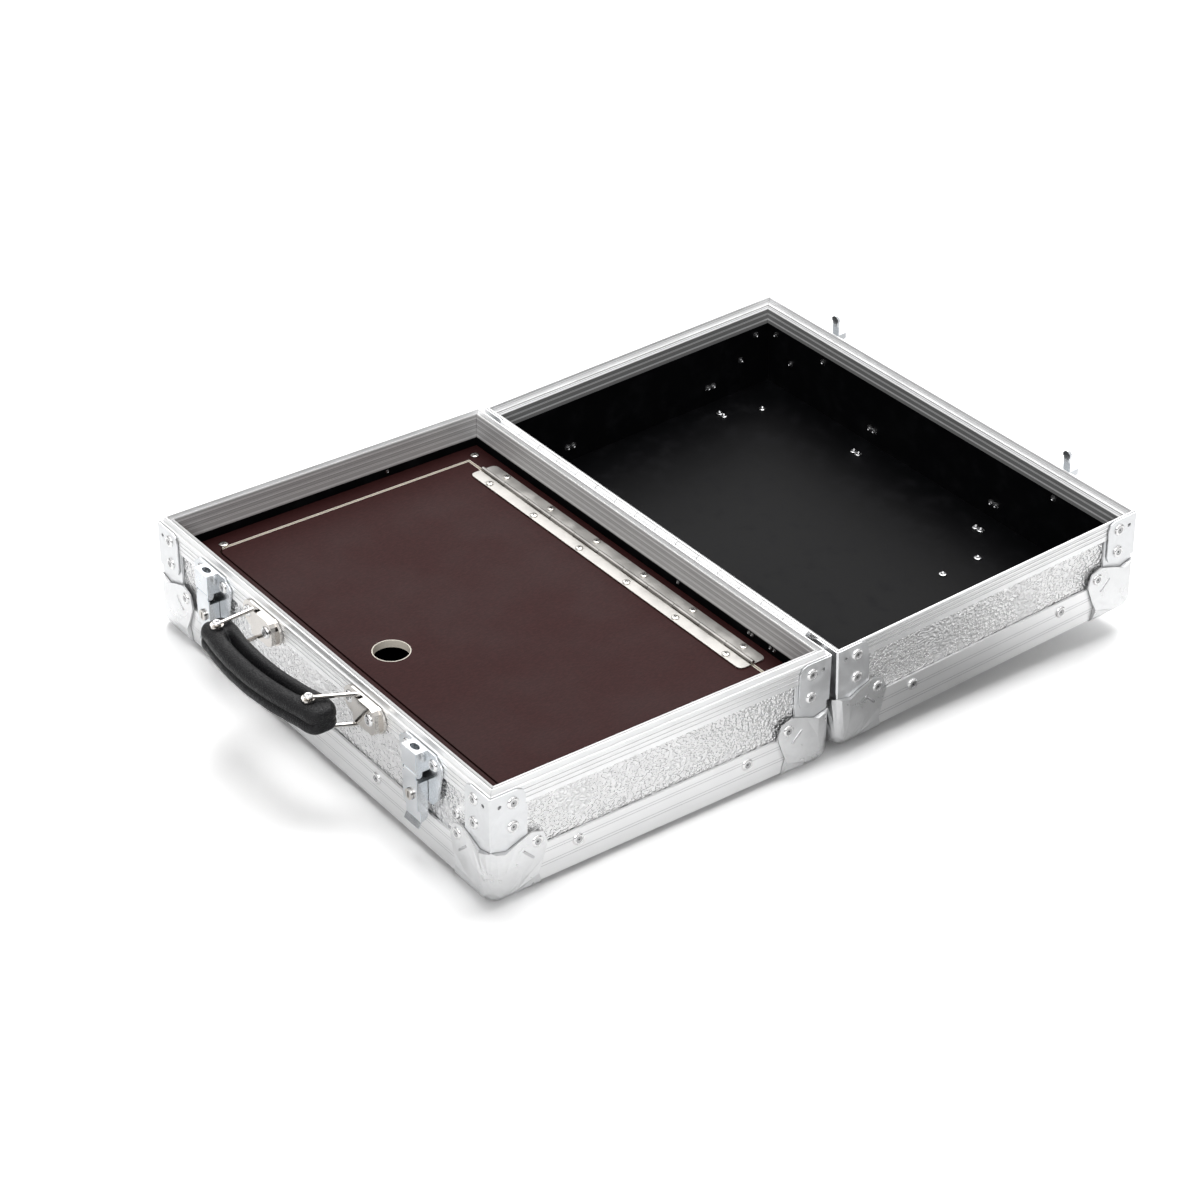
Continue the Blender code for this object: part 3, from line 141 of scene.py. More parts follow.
class Finish:  # one material, with its Principled shader
    def __init__(self, name, color, rough, metal=0.0, **constants):
        self.material = bpy.data.materials.new(name)
        self.material.use_nodes = True
        self.tree = self.material.node_tree
        self.shader = self.tree.nodes["Principled BSDF"]
        self.shader.inputs["Base Color"].default_value = (*color, 1)
        self.shader.inputs["Roughness"].default_value = rough
        self.shader.inputs["Metallic"].default_value = metal
        for key, value in constants.items():
            self.shader.inputs[key.replace("_", " ")].default_value = value
        self.places = self.tree.nodes.new("ShaderNodeTexCoord")

    def node(self, kind, settings, values, output=0):
        pairs = values.items() if isinstance(values, dict) else enumerate(values)
        sockets = {key: getattr(value, "socket", value) for key, value in pairs}
        return Wire(self, addNode(self.tree, kind, settings, sockets).outputs[output])

    def place(self, scale=(1, 1, 1), turn=(0, 0, 0), move=(0, 0, 0)):
        spot = Wire(self, self.places.outputs["Object"])
        if (scale, turn, move) == ((1, 1, 1), (0, 0, 0), (0, 0, 0)):
            return spot
        return self.node("ShaderNodeMapping", {"vector_type": "POINT"}, [spot, move, turn, scale])

    def noise(self, spot, scale, detail=3.0, rough=0.5, lean=0.0):
        values = {"Vector": spot, "Scale": scale, "Detail": detail, "Roughness": rough}
        values["Distortion"] = lean
        return self.node("ShaderNodeTexNoise", {}, values)

    def cells(self, spot, scale):
        values = {"Vector": spot, "Scale": scale, "Randomness": 1.0}
        return self.node("ShaderNodeTexVoronoi", {"feature": "F1"}, values)

    def split(self, spot):
        parts = addNode(self.tree, "ShaderNodeSeparateXYZ", {}, [spot.socket])
        return [Wire(self, out) for out in parts.outputs]

    def blend(self, share, first, second):
        values = {0: share}
        for key, value in ((6, first), (7, second)):
            values[key] = (*value, 1) if isinstance(value, tuple) else value
        return self.node("ShaderNodeMix", {"data_type": "RGBA"}, values, 2)

    def pick(self, share, first, second):  # the same for vectors
        values = {0: share, 4: first, 5: second}
        return self.node("ShaderNodeMix", {"data_type": "VECTOR"}, values, 1)

    def bump(self, height, depth, share):
        values = {"Strength": share, "Distance": depth, "Height": height}
        return self.node("ShaderNodeBump", {}, values)

    def feed(self, key, value):
        self.tree.links.new(value.socket, self.shader.inputs[key])


def darker(color, share):
    return tuple(value * share for value in color)


# Each half's own frame for its finishes: how it is turned and moved, its near face, its levels
# and the painted shade of the bands on its rims' inner legs, darker on the lid than on the base
upright = Matrix.Rotation(-tilt, 3, "X")
finishFrames = {
    "base": {
        "turn": (0, 0, 0),
        "move": (0, 0, 0),
        "near": frontFace,
        "low": caseSizes["floorRise"],
        "rim": caseSizes["rimLevel"],
        "paintedShadeBand": (0.62,) * 3,
    },
    "lid": {
        "turn": (-tilt, 0, 0),
        "move": tuple(-(upright @ hinge)),
        "near": lidNear,
        "low": -caseSizes["lidHeight"],
        "rim": 0.0,
        "paintedShadeBand": (0.34,) * 3,
    },
}


def within(x, y, half, skin):  # 1 between a half's four walls
    across = x.size() < caseSizes["halfWidth"] - skin
    far = half["near"] + 2 * halfDepth
    return across * (y > half["near"] + skin) * (y < far - skin)


# Shells: embossed foil outside, matt black inside. In all finishes a noise is a tuple of
# scale, detail, roughness and distortion, an edge is the part of it that is spread over 0 to 1,
# and the plain look is color, roughness and metal before any texture

middleEdge = (0.3, 0.7)
stuccoSizes = {
    "plain": ((0.83, 0.84, 0.85), 0.24, 1.0),
    "specular": 0.06,
    "pebbles": (480.0, 1.0, 0.5, 0.25),
    "squash": (0.75, 0.75, 1.0),
    "pebbleEdge": (0.32, 0.68),
    "foilDepth": 0.00068,
    "foilShare": 0.9,
    # dark where the pebbles are low, as painted shade in their hollows, and light on their tops
    "foil": ((0.79, 0.79, 0.795), (0.93, 0.93, 0.93)),
    "foilRough": (0.20, 0.30),
    "smudges": (26.0, 3.0, 0.6),
    "smudgeShare": 0.25,
    "grain": (900.0, 3.0, 0.6),
    "paintDepth": 0.00008,
    "paintShare": 0.35,
    "paint": ((0.003, 0.003, 0.0035), (0.007, 0.007, 0.008)),
    "paintRough": (0.42, 0.55),
    "dust": (60.0, 5.0, 0.7),
    "dustEdge": (0.45, 0.75),
}


def stuccoFinish(name, half):
    look = stuccoSizes
    made = Finish(name, *look["plain"], Specular_IOR_Level=look["specular"])
    turn, move = half["turn"], half["move"]
    spot = made.place(turn=turn, move=move)
    x, y, z = made.split(spot)
    inside = within(x, y, half, caseSizes["wall"]) * (z > half["low"] + caseSizes["wall"])
    squashed = made.place(scale=look["squash"], turn=turn, move=move)
    height = made.noise(squashed, *look["pebbles"]).spread(*look["pebbleEdge"])
    grain = made.noise(spot, *look["grain"])
    outer = made.bump(height, look["foilDepth"], look["foilShare"])
    inner = made.bump(grain, look["paintDepth"], look["paintShare"])
    made.feed("Normal", made.pick(inside, outer, inner))
    smudge = made.noise(spot, *look["smudges"])
    share = look["smudgeShare"]
    # The foil is painted darker in the pebbles' hollows, as painted shade, and its tone also varies
    # with the smudges
    foilWithHollowShade = made.blend(height * (1 - share) + smudge * share, *look["foil"])
    dust = made.noise(spot, *look["dust"]).spread(*look["dustEdge"])
    made.feed("Base Color", made.blend(inside, foilWithHollowShade, made.blend(dust, *look["paint"])))
    made.feed("Metallic", 1 - inside)
    shine = smudge.spread(*middleEdge, *look["foilRough"])
    matt = dust.spread(0.0, 1.0, *look["paintRough"])
    made.feed("Roughness", shine * (1 - inside) + matt * inside)
    return made.material


# Rims and edge angles: satin aluminium, drawn along the bar

drawnSizes = {
    "plain": ((0.9, 0.905, 0.91), 0.38, 0.9),
    "stretch": 0.012,
    "lines": (2400.0, 2.0, 0.6),
    "broad": (260.0, 2.0, 0.5),
    "broadShare": 0.5,
    "smudges": (26.0, 4.0, 0.6),
    "scratches": (700.0, 4.0, 0.7),
    "scratchEdge": (0.62, 0.72),
    "patches": (45.0, 2.0),
    "patchEdge": (0.5, 0.7),
    "scuffShare": 0.35,
    "shade": ((0.85, 0.855, 0.86), (0.96, 0.96, 0.96)),
    "scuffed": (0.62, 0.63, 0.65),
    "rough": (0.28, 0.42),
    "lineRough": 0.06,
    "depth": 0.00006,
    "bumpShare": 0.5,
    "bumpBroad": 0.3,
    "metal": 0.88,
    "innerMetal": 0.20,
    "inside": 0.0050,
    "ribStart": 0.0016,
    "ribPitch": 0.0034,
    "ribRows": (-0.05, 2.7),  # in pitches
    "ribWidth": 0.09,
    # dark in the grooves of the rims and edge angles, as painted shade
    "rib": (0.30, 0.30, 0.31),
    "ribShare": 0.75,
    "angleLines": (0.0565, 0.0585, 0.0665, 0.0685),  # below the rim
    "angleWidth": 0.00016,
    # stripes on the inner legs: painted shade bands, with lighter lines between them as painted
    # highlights
    "shadeBandPitch": 0.0047,
    "highlightLineShare": 0.32,
}


def drawnFinish(name, along, half):
    look = drawnSizes
    made = Finish(name, *look["plain"])
    x, y, z = made.split(made.place(turn=half["turn"], move=half["move"]))
    inside = within(x, y, half, look["inside"])
    stretched = made.place(scale=tuple(look["stretch"] if axis == along else 1.0 for axis in "XYZ"))
    lines = made.noise(stretched, *look["lines"])
    broad = made.noise(stretched, *look["broad"])
    smudge = made.noise(made.place(), *look["smudges"])
    scratches = made.noise(stretched, *look["scratches"]).spread(*look["scratchEdge"])
    scuff = scratches * made.noise(made.place(), *look["patches"]).spread(*look["patchEdge"])
    rows = (half["rim"] - look["ribStart"] - z) / look["ribPitch"]
    step = rows.fraction()
    groove = (step < look["ribWidth"]) + ((step - 0.5).size() < look["ribWidth"] / 2)
    groove = groove * (rows > look["ribRows"][0]) * (rows < look["ribRows"][1])
    for level in look["angleLines"]:
        groove = groove + ((z - half["rim"] + level).size() < look["angleWidth"])
    # Inner legs: bands of painted shade in the half's own grey, with painted highlight lines
    # between them
    shadeBandSteps = ((half["rim"] - z) / look["shadeBandPitch"]).fraction()
    paintedShadeBand = inside * (shadeBandSteps > look["highlightLineShare"])
    share = look["broadShare"]
    shade = made.blend(lines * (1 - share) + broad * share, *look["shade"])
    worn = made.blend(scuff * look["scuffShare"], shade, look["scuffed"])
    shadeBanded = made.blend(paintedShadeBand, worn, half["paintedShadeBand"])
    # The grooves are painted dark, as painted shade in them
    ribbed = made.blend(groove.least(1.0) * look["ribShare"], shadeBanded, look["rib"])
    made.feed("Base Color", ribbed)
    made.feed("Metallic", look["metal"] - inside * (look["metal"] - look["innerMetal"]))
    rough = smudge.spread(*middleEdge, *look["rough"]) + lines * look["lineRough"]
    made.feed("Roughness", rough)
    share = look["bumpBroad"]
    height = lines * (1 - share) + broad * share - groove
    made.feed("Normal", made.bump(height, look["depth"], look["bumpShare"]))
    return made.material


# Plated and bare small parts: color, roughness and how much darker the clouds are; the dish and pit
# looks are painted shade

platedSizes = {
    "clouds": (70.0, 4.0, 0.6, 0.4),
    "roughEdge": (0.3, 0.75),
    "rough": (0.80, 1.35),  # shares of the own roughness
    "fine": (1500.0, 3.0, 0.6),
    "fineRough": 0.04,
    "tiny": (300.0, 3.0, 0.6),
    "depth": 0.00004,
    "bumpShare": 0.5,
}
platedLooks = {
    "nickel": ("nickelPlate", (0.64, 0.615, 0.585), 0.12, 0.10),
    "cap": ("capPlate", (0.80, 0.805, 0.81), 0.30, 0.10),
    "brace": ("bracePlate", (0.80, 0.81, 0.82), 0.34, 0.10),
    "leaf": ("hingeLeaf", (0.54, 0.525, 0.50), 0.34, 0.12),
    "zinc": ("zincPlate", (0.76, 0.785, 0.81), 0.20, 0.14),
    "rivet": ("rivetHead", (0.88, 0.88, 0.88), 0.16, 0.06),
    "screw": ("screwHead", (0.76, 0.74, 0.70), 0.16, 0.12),
    "tail": ("rivetTail", (0.62, 0.62, 0.63), 0.24, 0.25),
    # painted shade on the sloping faces of the rivets' dished heads
    "dishShade": ("paintedDishShade", (0.50, 0.50, 0.505), 0.28, 0.20),
    # painted shade, near black, in the rivets' centre holes and on the screw slots' floors
    "pitShade": ("paintedPitShade", (0.07, 0.07, 0.075), 0.45, 0.40),
}


def platedFinish(name, color, rough, cloud):
    look = platedSizes
    made = Finish(name, color, rough, 1.0)
    spot = made.place()
    mottle = made.noise(spot, *look["clouds"])
    fine = made.noise(spot, *look["fine"])
    tiny = made.noise(spot, *look["tiny"])
    shade = made.blend(mottle.spread(*middleEdge), darker(color, 1 - cloud), color)
    made.feed("Base Color", shade)
    duller = mottle.spread(*look["roughEdge"], *darker(look["rough"], rough))
    made.feed("Roughness", duller + fine * look["fineRough"])
    height = fine * 0.5 + tiny * 0.5
    made.feed("Normal", made.bump(height, look["depth"], look["bumpShare"]))
    return made.material


# Board and hatch: dark film, with pale wood where the saw has passed

boardSizes = {
    "color": (0.034, 0.0104, 0.0102),
    "plainRough": 0.5,
    "specular": 0.08,
    "shades": (0.80, 1.22),
    "warm": {"board": 1.0, "hatch": 1.18},
    "fibre": (900.0, 4.0, 0.7),
    "fibreStretch": (1.0, 0.35, 1.0),
    "fibreEdge": (0.35, 0.7),
    "clouds": (14.0, 4.0, 0.6),
    "cloudShare": 0.4,
    "rough": (0.44, 0.56),
    "sawnRough": 0.3,
    "depth": 0.00006,
    "bumpShare": 0.45,
    "wood": (0.90, 0.84, 0.74),
    "woodShade": 0.85,
    "layers": (1400.0, 2.0),
    "layerStretch": (0.05, 0.05, 1.0),
    "top": 0.0592 - 0.00025,  # under the film
    "low": 0.0537 + 0.0003,
    "kerf": {
        "middle": (-0.00025, -0.11405),
        "half": (0.17545, 0.10595),
        "round": 0.0065,
        "chip": 0.00115,
        "front": -0.2160,
    },
    "hole": {"middleY": -0.1915, "radius": 0.0125, "chip": 0.0007},
}


def sawnShare(x, y, z):  # 1 on raw wood: the sawn faces, the kerf's chipped edge and the hole's
    kerf = boardSizes["kerf"]
    behind = y > kerf["front"]
    sawn = (z < boardSizes["top"]) * (z > boardSizes["low"]) * behind
    middleX, middleY = kerf["middle"]
    soft = (y < middleY) * kerf["round"]
    across = (x - middleX).size() - kerf["half"][0] + soft
    along = (y - middleY).size() - kerf["half"][1] + soft
    outX, outY = across.most(0.0), along.most(0.0)
    corner = (outX * outX + outY * outY).root()
    line = corner + across.most(along).least(0.0) - soft
    chipped = (line.size() < kerf["chip"]) * behind
    ring = boardSizes["hole"]
    off = y - ring["middleY"]
    hole = ((x * x + off * off).root() - ring["radius"]).size() < ring["chip"]
    return sawn.most(chipped).most(hole)


def boardFinish(name, warm):
    look = boardSizes
    made = Finish(name, look["color"], look["plainRough"], Specular_IOR_Level=look["specular"])
    spot = made.place()
    edge = sawnShare(*made.split(spot))
    fibre = made.noise(made.place(scale=look["fibreStretch"]), *look["fibre"])
    cloud = made.noise(spot, *look["clouds"])
    dark = darker(look["color"], look["shades"][0])
    light = darker(look["color"], look["shades"][1] * warm)
    share = look["cloudShare"]
    grain = fibre.spread(*look["fibreEdge"]) * (1 - share)
    film = made.blend(grain + cloud * share, dark, light)
    layers = made.noise(made.place(scale=look["layerStretch"]), *look["layers"])
    wood = made.blend(layers, darker(look["wood"], look["woodShade"]), look["wood"])
    made.feed("Base Color", made.blend(edge, film, wood))
    rough = cloud.spread(*middleEdge, *look["rough"]) + edge * look["sawnRough"]
    made.feed("Roughness", rough)
    made.feed("Normal", made.bump(fibre, look["depth"], look["bumpShare"]))
    return made.material


# Ledge under the board

plySizes = {
    "plain": ((0.42, 0.30, 0.19), 0.7),
    "rings": (240.0, 4.0, 0.6, 1.2),
    "stretch": (0.12, 1.0, 1.0),
    "colors": ((0.30, 0.20, 0.12), (0.52, 0.39, 0.26)),
    "depth": 0.0001,
    "bumpShare": 0.4,
}


def plyFinish():
    made = Finish("ledgePly", *plySizes["plain"])
    rings = made.noise(made.place(scale=plySizes["stretch"]), *plySizes["rings"])
    made.feed("Base Color", made.blend(rings, *plySizes["colors"]))
    made.feed("Normal", made.bump(rings, plySizes["depth"], plySizes["bumpShare"]))
    return made.material


# Leather of the grip

leatherSizes = {
    "plain": ((0.008, 0.008, 0.009), 0.40),
    "specular": 0.26,
    "pores": 800.0,
    "poreEdge": (0.0, 0.6),
    "folds": (420.0, 4.0, 0.65, 0.6),
    "foldShare": 0.4,
    "foldEdge": (0.35, 0.65),
    "wear": (60.0, 4.0, 0.6),
    "wearEdge": (0.45, 0.75),
    "colors": ((0.005, 0.005, 0.006), (0.013, 0.013, 0.014)),
    "rough": (0.34, 0.52),
    "depth": 0.0007,
    "bumpShare": 0.9,
}


def leatherFinish():
    look = leatherSizes
    made = Finish("blackLeather", *look["plain"], Specular_IOR_Level=look["specular"])
    spot = made.place()
    pores = made.cells(spot, look["pores"])
    folds = made.noise(spot, *look["folds"])
    wear = made.noise(spot, *look["wear"]).spread(*look["wearEdge"])
    made.feed("Base Color", made.blend(wear, *look["colors"]))
    made.feed("Roughness", folds.spread(*look["foldEdge"], *look["rough"]))
    share = look["foldShare"]
    height = pores.spread(*look["poreEdge"]) * (1 - share) + folds * share
    made.feed("Normal", made.bump(height, look["depth"], look["bumpShare"]))
    return made.material


finishes = {key: platedFinish(*look) for key, look in platedLooks.items()}
for word, half in finishFrames.items():
    finishes[word + "Stucco"] = stuccoFinish(word + "Stucco", half)
    for axis in "XY":
        finishes[word + "Drawn" + axis] = drawnFinish(word + "Drawn" + axis, axis, half)
for key, warm in boardSizes["warm"].items():
    finishes[key] = boardFinish(key + "Face", warm)
finishes["ply"] = plyFinish()
finishes["leather"] = leatherFinish()

# The first word found in a node's name decides; half stands for base or lid
nodeFinishes = {
    "_rim_front": "halfDrawnX",
    "_rim_rear": "halfDrawnX",
    "_rim_left": "halfDrawnY",
    "_rim_right": "halfDrawnY",
    "_edge_front": "halfDrawnX",
    "_edge_rear": "halfDrawnX",
    "_edge_left": "halfDrawnY",
    "_edge_right": "halfDrawnY",
    "_corner_": "brace",
    "_ball_": "cap",
    "case_hinge_pin": "zinc",
    "case_hinge": "halfDrawnX",
    "hatch_hinge_pin": "zinc",
    "_shell": "halfStucco",
    "board_ledge": "ply",
    "board": "board",
    "hatch_hinge": "leaf",
    "hatch": "hatch",
    "latch_": "zinc",
    "key_barrel": "nickel",
    "keeper": "zinc",
    "bail": "nickel",
    "handle_bracket": "nickel",
    "grip": "leather",
}
for name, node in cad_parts.items():
    found = next(finish for word, finish in nodeFinishes.items() if word in name)
    found = found.replace("half", "lid" if "lid" in name else "base")
    node.data.materials.clear()
    node.data.materials.append(finishes[found])
print("stage: finishes on the case")


# Working steps for the new pieces

upward = 0.9  # least rise of a normal that looks up


def select(piece):
    bpy.ops.object.select_all(action="DESELECT")
    piece.select_set(True)
    bpy.context.view_layer.objects.active = piece


def startPiece(name, kind, **settings):
    bpy.ops.object.select_all(action="DESELECT")
    getattr(bpy.ops.mesh, kind)(**settings)
    piece = bpy.context.object
    piece.name = name
    return piece


def layFlat(piece):  # its place goes into the mesh
    select(piece)
    bpy.ops.object.transform_apply(location=True, rotation=True, scale=True)


def pickTop(piece):  # the faces that look up, in edit mode
    shape = bmesh.from_edit_mesh(piece.data)
    shape.select_mode = {"FACE"}
    for face in shape.faces:
        face.select_set(False)
    for face in shape.faces:
        if face.normal.z > upward:
            face.select_set(True)
    shape.select_flush_mode()
    bmesh.update_edit_mesh(piece.data)


def turnedHead(name, vertices, radius, low, high, rings):  # a disc whose top steps in by rings
    place = (0, 0, (low + high) / 2)
    settings = {"vertices": vertices, "radius": radius, "depth": high - low, "location": place}
    piece = startPiece(name, "primitive_cylinder_add", **settings)
    layFlat(piece)
    bpy.ops.object.mode_set(mode="EDIT")
    pickTop(piece)
    for inset, rise in rings:
        bpy.ops.mesh.inset(thickness=inset)
        bpy.ops.transform.translate(value=(0, 0, rise))
    bpy.ops.object.mode_set(mode="OBJECT")
    return piece


def dress(piece, names, angle):
    for name in names:
        piece.data.materials.append(finishes[name])
    bpy.ops.object.shade_smooth_by_angle(angle=math.radians(angle))


def copyOut(name, model, spots):  # copies of one model, joined
    copies = []
    for spot in spots:
        copy = model.copy()
        copy.data = model.data.copy()
        copy.data.transform(spot)
        bpy.context.scene.collection.objects.link(copy)
        copies.append(copy)
    bpy.ops.object.select_all(action="DESELECT")
    for copy in copies:
        copy.select_set(True)
    bpy.context.view_layer.objects.active = copies[0]
    bpy.ops.object.join()
    copies[0].name = name
    return copies[0]


def facing(place, outward):
    turn = Vector(outward).to_track_quat("Z", "Y")
    return Matrix.Translation(place) @ turn.to_matrix().to_4x4()


def lowCorners(half):  # a half's four lower corners, each with the way into the half
    for handX in (-1, 1):
        for side, handY in (("near", 1), ("far", -1)):
            corner = Vector((handX * caseSizes["halfWidth"], half[side], half["low"]))
            yield corner, Vector((-handX, handY, 1))


def onCorner(corner, inward, axis, proud, inset):  # a spot on one face, and the way out of it
    place = Vector((inset, inset, inset))
    place[axis] = -proud
    outward = Vector()
    outward[axis] = -inward[axis]
    return corner + place * inward, outward


# Rivets

rivetSizes = {
    "radius": 0.0043,
    "vertices": 26,
    "low": -0.0003,
    "high": 0.0005,
    "rings": (
        (0.00035, 0.00045), (0.00050, 0.00040), (0.00045, 0.00018), (0.00050, -0.00006),
        (0.00045, -0.00030), (0.00065, -0.00010), (0.00065, -0.00002),
    ),
    "dishShade": 0.0027,
    "dishLevel": 0.0006,
    "pitShade": 0.0008,
    "braceInset": 0.0157,
    "braceDrops": (0.0086, 0.0265),
    "braceProud": 0.0013,
    "earInset": 0.0338,
    "earProud": 0.0014,
    "edgeSide": 0.0665,
    "edgeFront": 0.1272,
    "edgeHeight": 0.0200,
    "wallSpot": (0.1590, -0.1322, 0.0472),
    "fronts": (  # latches, bracket plates, bracket covers: y, then x and z of each
        (-0.2527, ((-0.1405, 0.0737), (-0.1115, 0.0737), (0.1115, 0.0737), (0.1405, 0.0737))),
        (-0.2533, ((-0.0784, 0.07315), (0.0456, 0.07315))),
        (-0.2578, ((-0.0485, 0.07315), (0.0755, 0.07315))),
    ),
    "keeperAcross": 0.1260,
    "keeperSpot": (0.27315, -0.0236),
    "gripPins": {"bail_left": (-0.061303, -0.286786), "bail_right": (0.045239, -0.28328)},
    "pinFaces": ((0.0852, 1), (0.0592, -1)),
    "pinShare": 0.72,
}


def rivetModel():
    look = rivetSizes
    shape = [look[key] for key in ("vertices", "radius", "low", "high", "rings")]
    piece = turnedHead("rivetModel", *shape)
    dress(piece, ("rivet", "pitShade", "dishShade"), 60)
    # The dish faces are painted darker and the centre hole near black, as painted shade
    for face in piece.data.polygons:
        reach = face.center.to_2d().length
        if face.center.z > look["dishLevel"] and reach < look["dishShade"]:
            face.material_index = 1 if reach < look["pitShade"] else 2
    return piece


def halfRivets(half):
    sizes = rivetSizes
    spots = []
    for corner, inward in lowCorners(half):
        for drop in sizes["braceDrops"]:
            for axis in (0, 1):
                proud, inset = sizes["braceProud"], sizes["braceInset"]
                place, outward = onCorner(corner, inward, axis, proud, inset)
                place.z = half["rim"] - drop
                spots.append((place, outward))
        for axis in range(3):
            proud, inset = sizes["earProud"], sizes["earInset"]
            spots.append(onCorner(corner, inward, axis, proud, inset))
    middle = (half["near"] + half["far"]) / 2
    reach = halfDepth - sizes["edgeSide"]
    height = half["low"] + sizes["edgeHeight"]
    for hand in (-1, 1):
        for out in (-1, 1):
            place = (out * caseSizes["halfWidth"], middle + hand * reach, height)
            spots.append((place, (out, 0, 0)))
        across = hand * (caseSizes["halfWidth"] - sizes["edgeFront"])
        spots.append(((across, half["near"], height), (0, -1, 0)))
        spots.append(((across, half["far"], height), (0, 1, 0)))
    return [half["move"] @ facing(place, outward) for place, outward in spots]


def extraRivets(word, half):
    sizes = rivetSizes
    if word == "base":
        spots = [half["move"] @ facing(sizes["wallSpot"], (0, -1, 0))]
        for y, places in sizes["fronts"]:
            spots += [facing((x, y, z), (0, -1, 0)) for x, z in places]
        return spots
    places = [(hand * sizes["keeperAcross"], *sizes["keeperSpot"]) for hand in (-1, 1)]
    return [half["move"] @ facing(place, (0, 1, 0)) for place in places]


rivet = rivetModel()
for word, half in halves.items():
    heads = copyOut(word + "Rivets", rivet, halfRivets(half) + extraRivets(word, half))
    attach(heads, word)
for body, spot in rivetSizes["gripPins"].items():
    shrink = Matrix.Scale(rivetSizes["pinShare"], 4)
    ends = [facing((*spot, z), (0, 0, out)) @ shrink for z, out in rivetSizes["pinFaces"]]
    heads = copyOut("pinHeads" + body.split("_")[1].title(), rivet, ends)
    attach(heads, body)
bpy.data.objects.remove(rivet, do_unlink=True)
print("stage: rivets")


# Pressed creases across the cap ears, given the darker rivet-tail finish as a painted shade line

creaseSizes = {
    "radius": 0.0010,
    "length": 0.0118,
    "vertices": 14,
    "ends": 0.0007,
    "segments": 3,
    "inset": 0.0268,
    "proud": 0.0021,
}


def creaseModel():
    sizes = creaseSizes
    settings = {key: sizes[key] for key in ("vertices", "radius")}
    settings["depth"] = sizes["length"]
    piece = startPiece("creaseModel", "primitive_cylinder_add", **settings)
    layFlat(piece)
    bevel = piece.modifiers.new("ends", "BEVEL")
    bevel.width = sizes["ends"]
    bevel.segments = sizes["segments"]
    bevel.limit_method = "ANGLE"
    bpy.ops.object.modifier_apply(modifier=bevel.name)
    # The darker tail finish is a painted shade line along each crease
    dress(piece, ("tail",), 50)
    return piece


def halfCreases(half):
    spots = []
    for corner, inward in lowCorners(half):
        for axis in (0, 1):
            proud, inset = creaseSizes["proud"], creaseSizes["inset"]
            place = onCorner(corner, inward, axis, proud, inset)[0]
            along = Vector(inward)
            along[axis] = 0
            along.z = -1
            spots.append(half["move"] @ facing(place, along))
    return spots


crease = creaseModel()
for word, half in halves.items():
    lines = copyOut(word + "Creases", crease, halfCreases(half))
    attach(lines, word)
bpy.data.objects.remove(crease, do_unlink=True)
print("stage: cap creases")


# Rivet tails inside both halves

tailSizes = {
    "radius": 0.0027,
    "vertices": 18,
    "low": -0.00015,
    "high": 0.00055,
    "rings": (
        (0.0005, 0.0002), (0.0006, 0.0001), (0.0002, 0.0008), (0.0004, 0.0002), (0.0004, -0.0005),
    ),
    "pairGap": 0.0052,
    "skin": 0.0060,
    # In millimetres of the lid, each with the number of tails side by side
    "leftWall": ((250, 26, 1), (235, 43, 1), (205, 56, 2), (70, 58, 2)),
    "farWall": ((16, 26, 1), (34, 44, 1), (73, 25, 1), (131, 58, 2), (266, 58, 2), (326, 23.5, 1)),
    "floor": (
        (39, 230, 1), (26, 200, 2), (134, 244, 2), (270, 244, 2), (298, 218, 1), (298, 184.5, 1),
    ),
    "baseShare": 0.55,
    "baseLevel": 0.0620,
    "baseRear": (0.0474, 0.1242, 0.1277, 0.1470, 0.1510),
    "baseLeft": -0.0676,
}


def tailModel():
    shape = [tailSizes[key] for key in ("vertices", "radius", "low", "high", "rings")]
    piece = turnedHead("tailModel", *shape)
    dress(piece, ("tail",), 40)
    return piece


def sideBySide(group):
    for first, second, count in tailSizes[group]:
        for step in range(count):
            shift = tailSizes["pairGap"] * (step - (count - 1) / 2)
            yield first / 1000 + shift, second / 1000


def lidTails():
    left = -caseSizes["halfWidth"]
    skin = tailSizes["skin"]
    floor = -caseSizes["lidHeight"] + skin
    far = lidNear + 2 * halfDepth - skin
    spots = []
    for depth, drop in sideBySide("leftWall"):
        spots.append(facing((left + skin, lidNear + depth, -drop), (1, 0, 0)))
    for across, drop in sideBySide("farWall"):
        spots.append(facing((left + across, far, -drop), (0, -1, 0)))
    for across, depth in sideBySide("floor"):
        spots.append(facing((left + across, lidNear + depth, floor), (0, 0, 1)))
    return [halves["lid"]["move"] @ spot for spot in spots]


def baseTailSpots():
    level, skin = tailSizes["baseLevel"], tailSizes["skin"]
    spots = [facing((x, rearFace - skin, level), (0, -1, 0)) for x in tailSizes["baseRear"]]
    side = (-caseSizes["halfWidth"] + skin, tailSizes["baseLeft"], level)
    spots.append(facing(side, (1, 0, 0)))
    return [spot @ Matrix.Scale(tailSizes["baseShare"], 4) for spot in spots]


tail = tailModel()
tails = copyOut("lidRivetTails", tail, lidTails())
baseTails = copyOut("baseRivetTails", tail, baseTailSpots())
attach(baseTails, "base")
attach(tails, "lid")
bpy.data.objects.remove(tail, do_unlink=True)
print("stage: rivet tails")


# Cross-slot screws of the board and of the hatch hinge

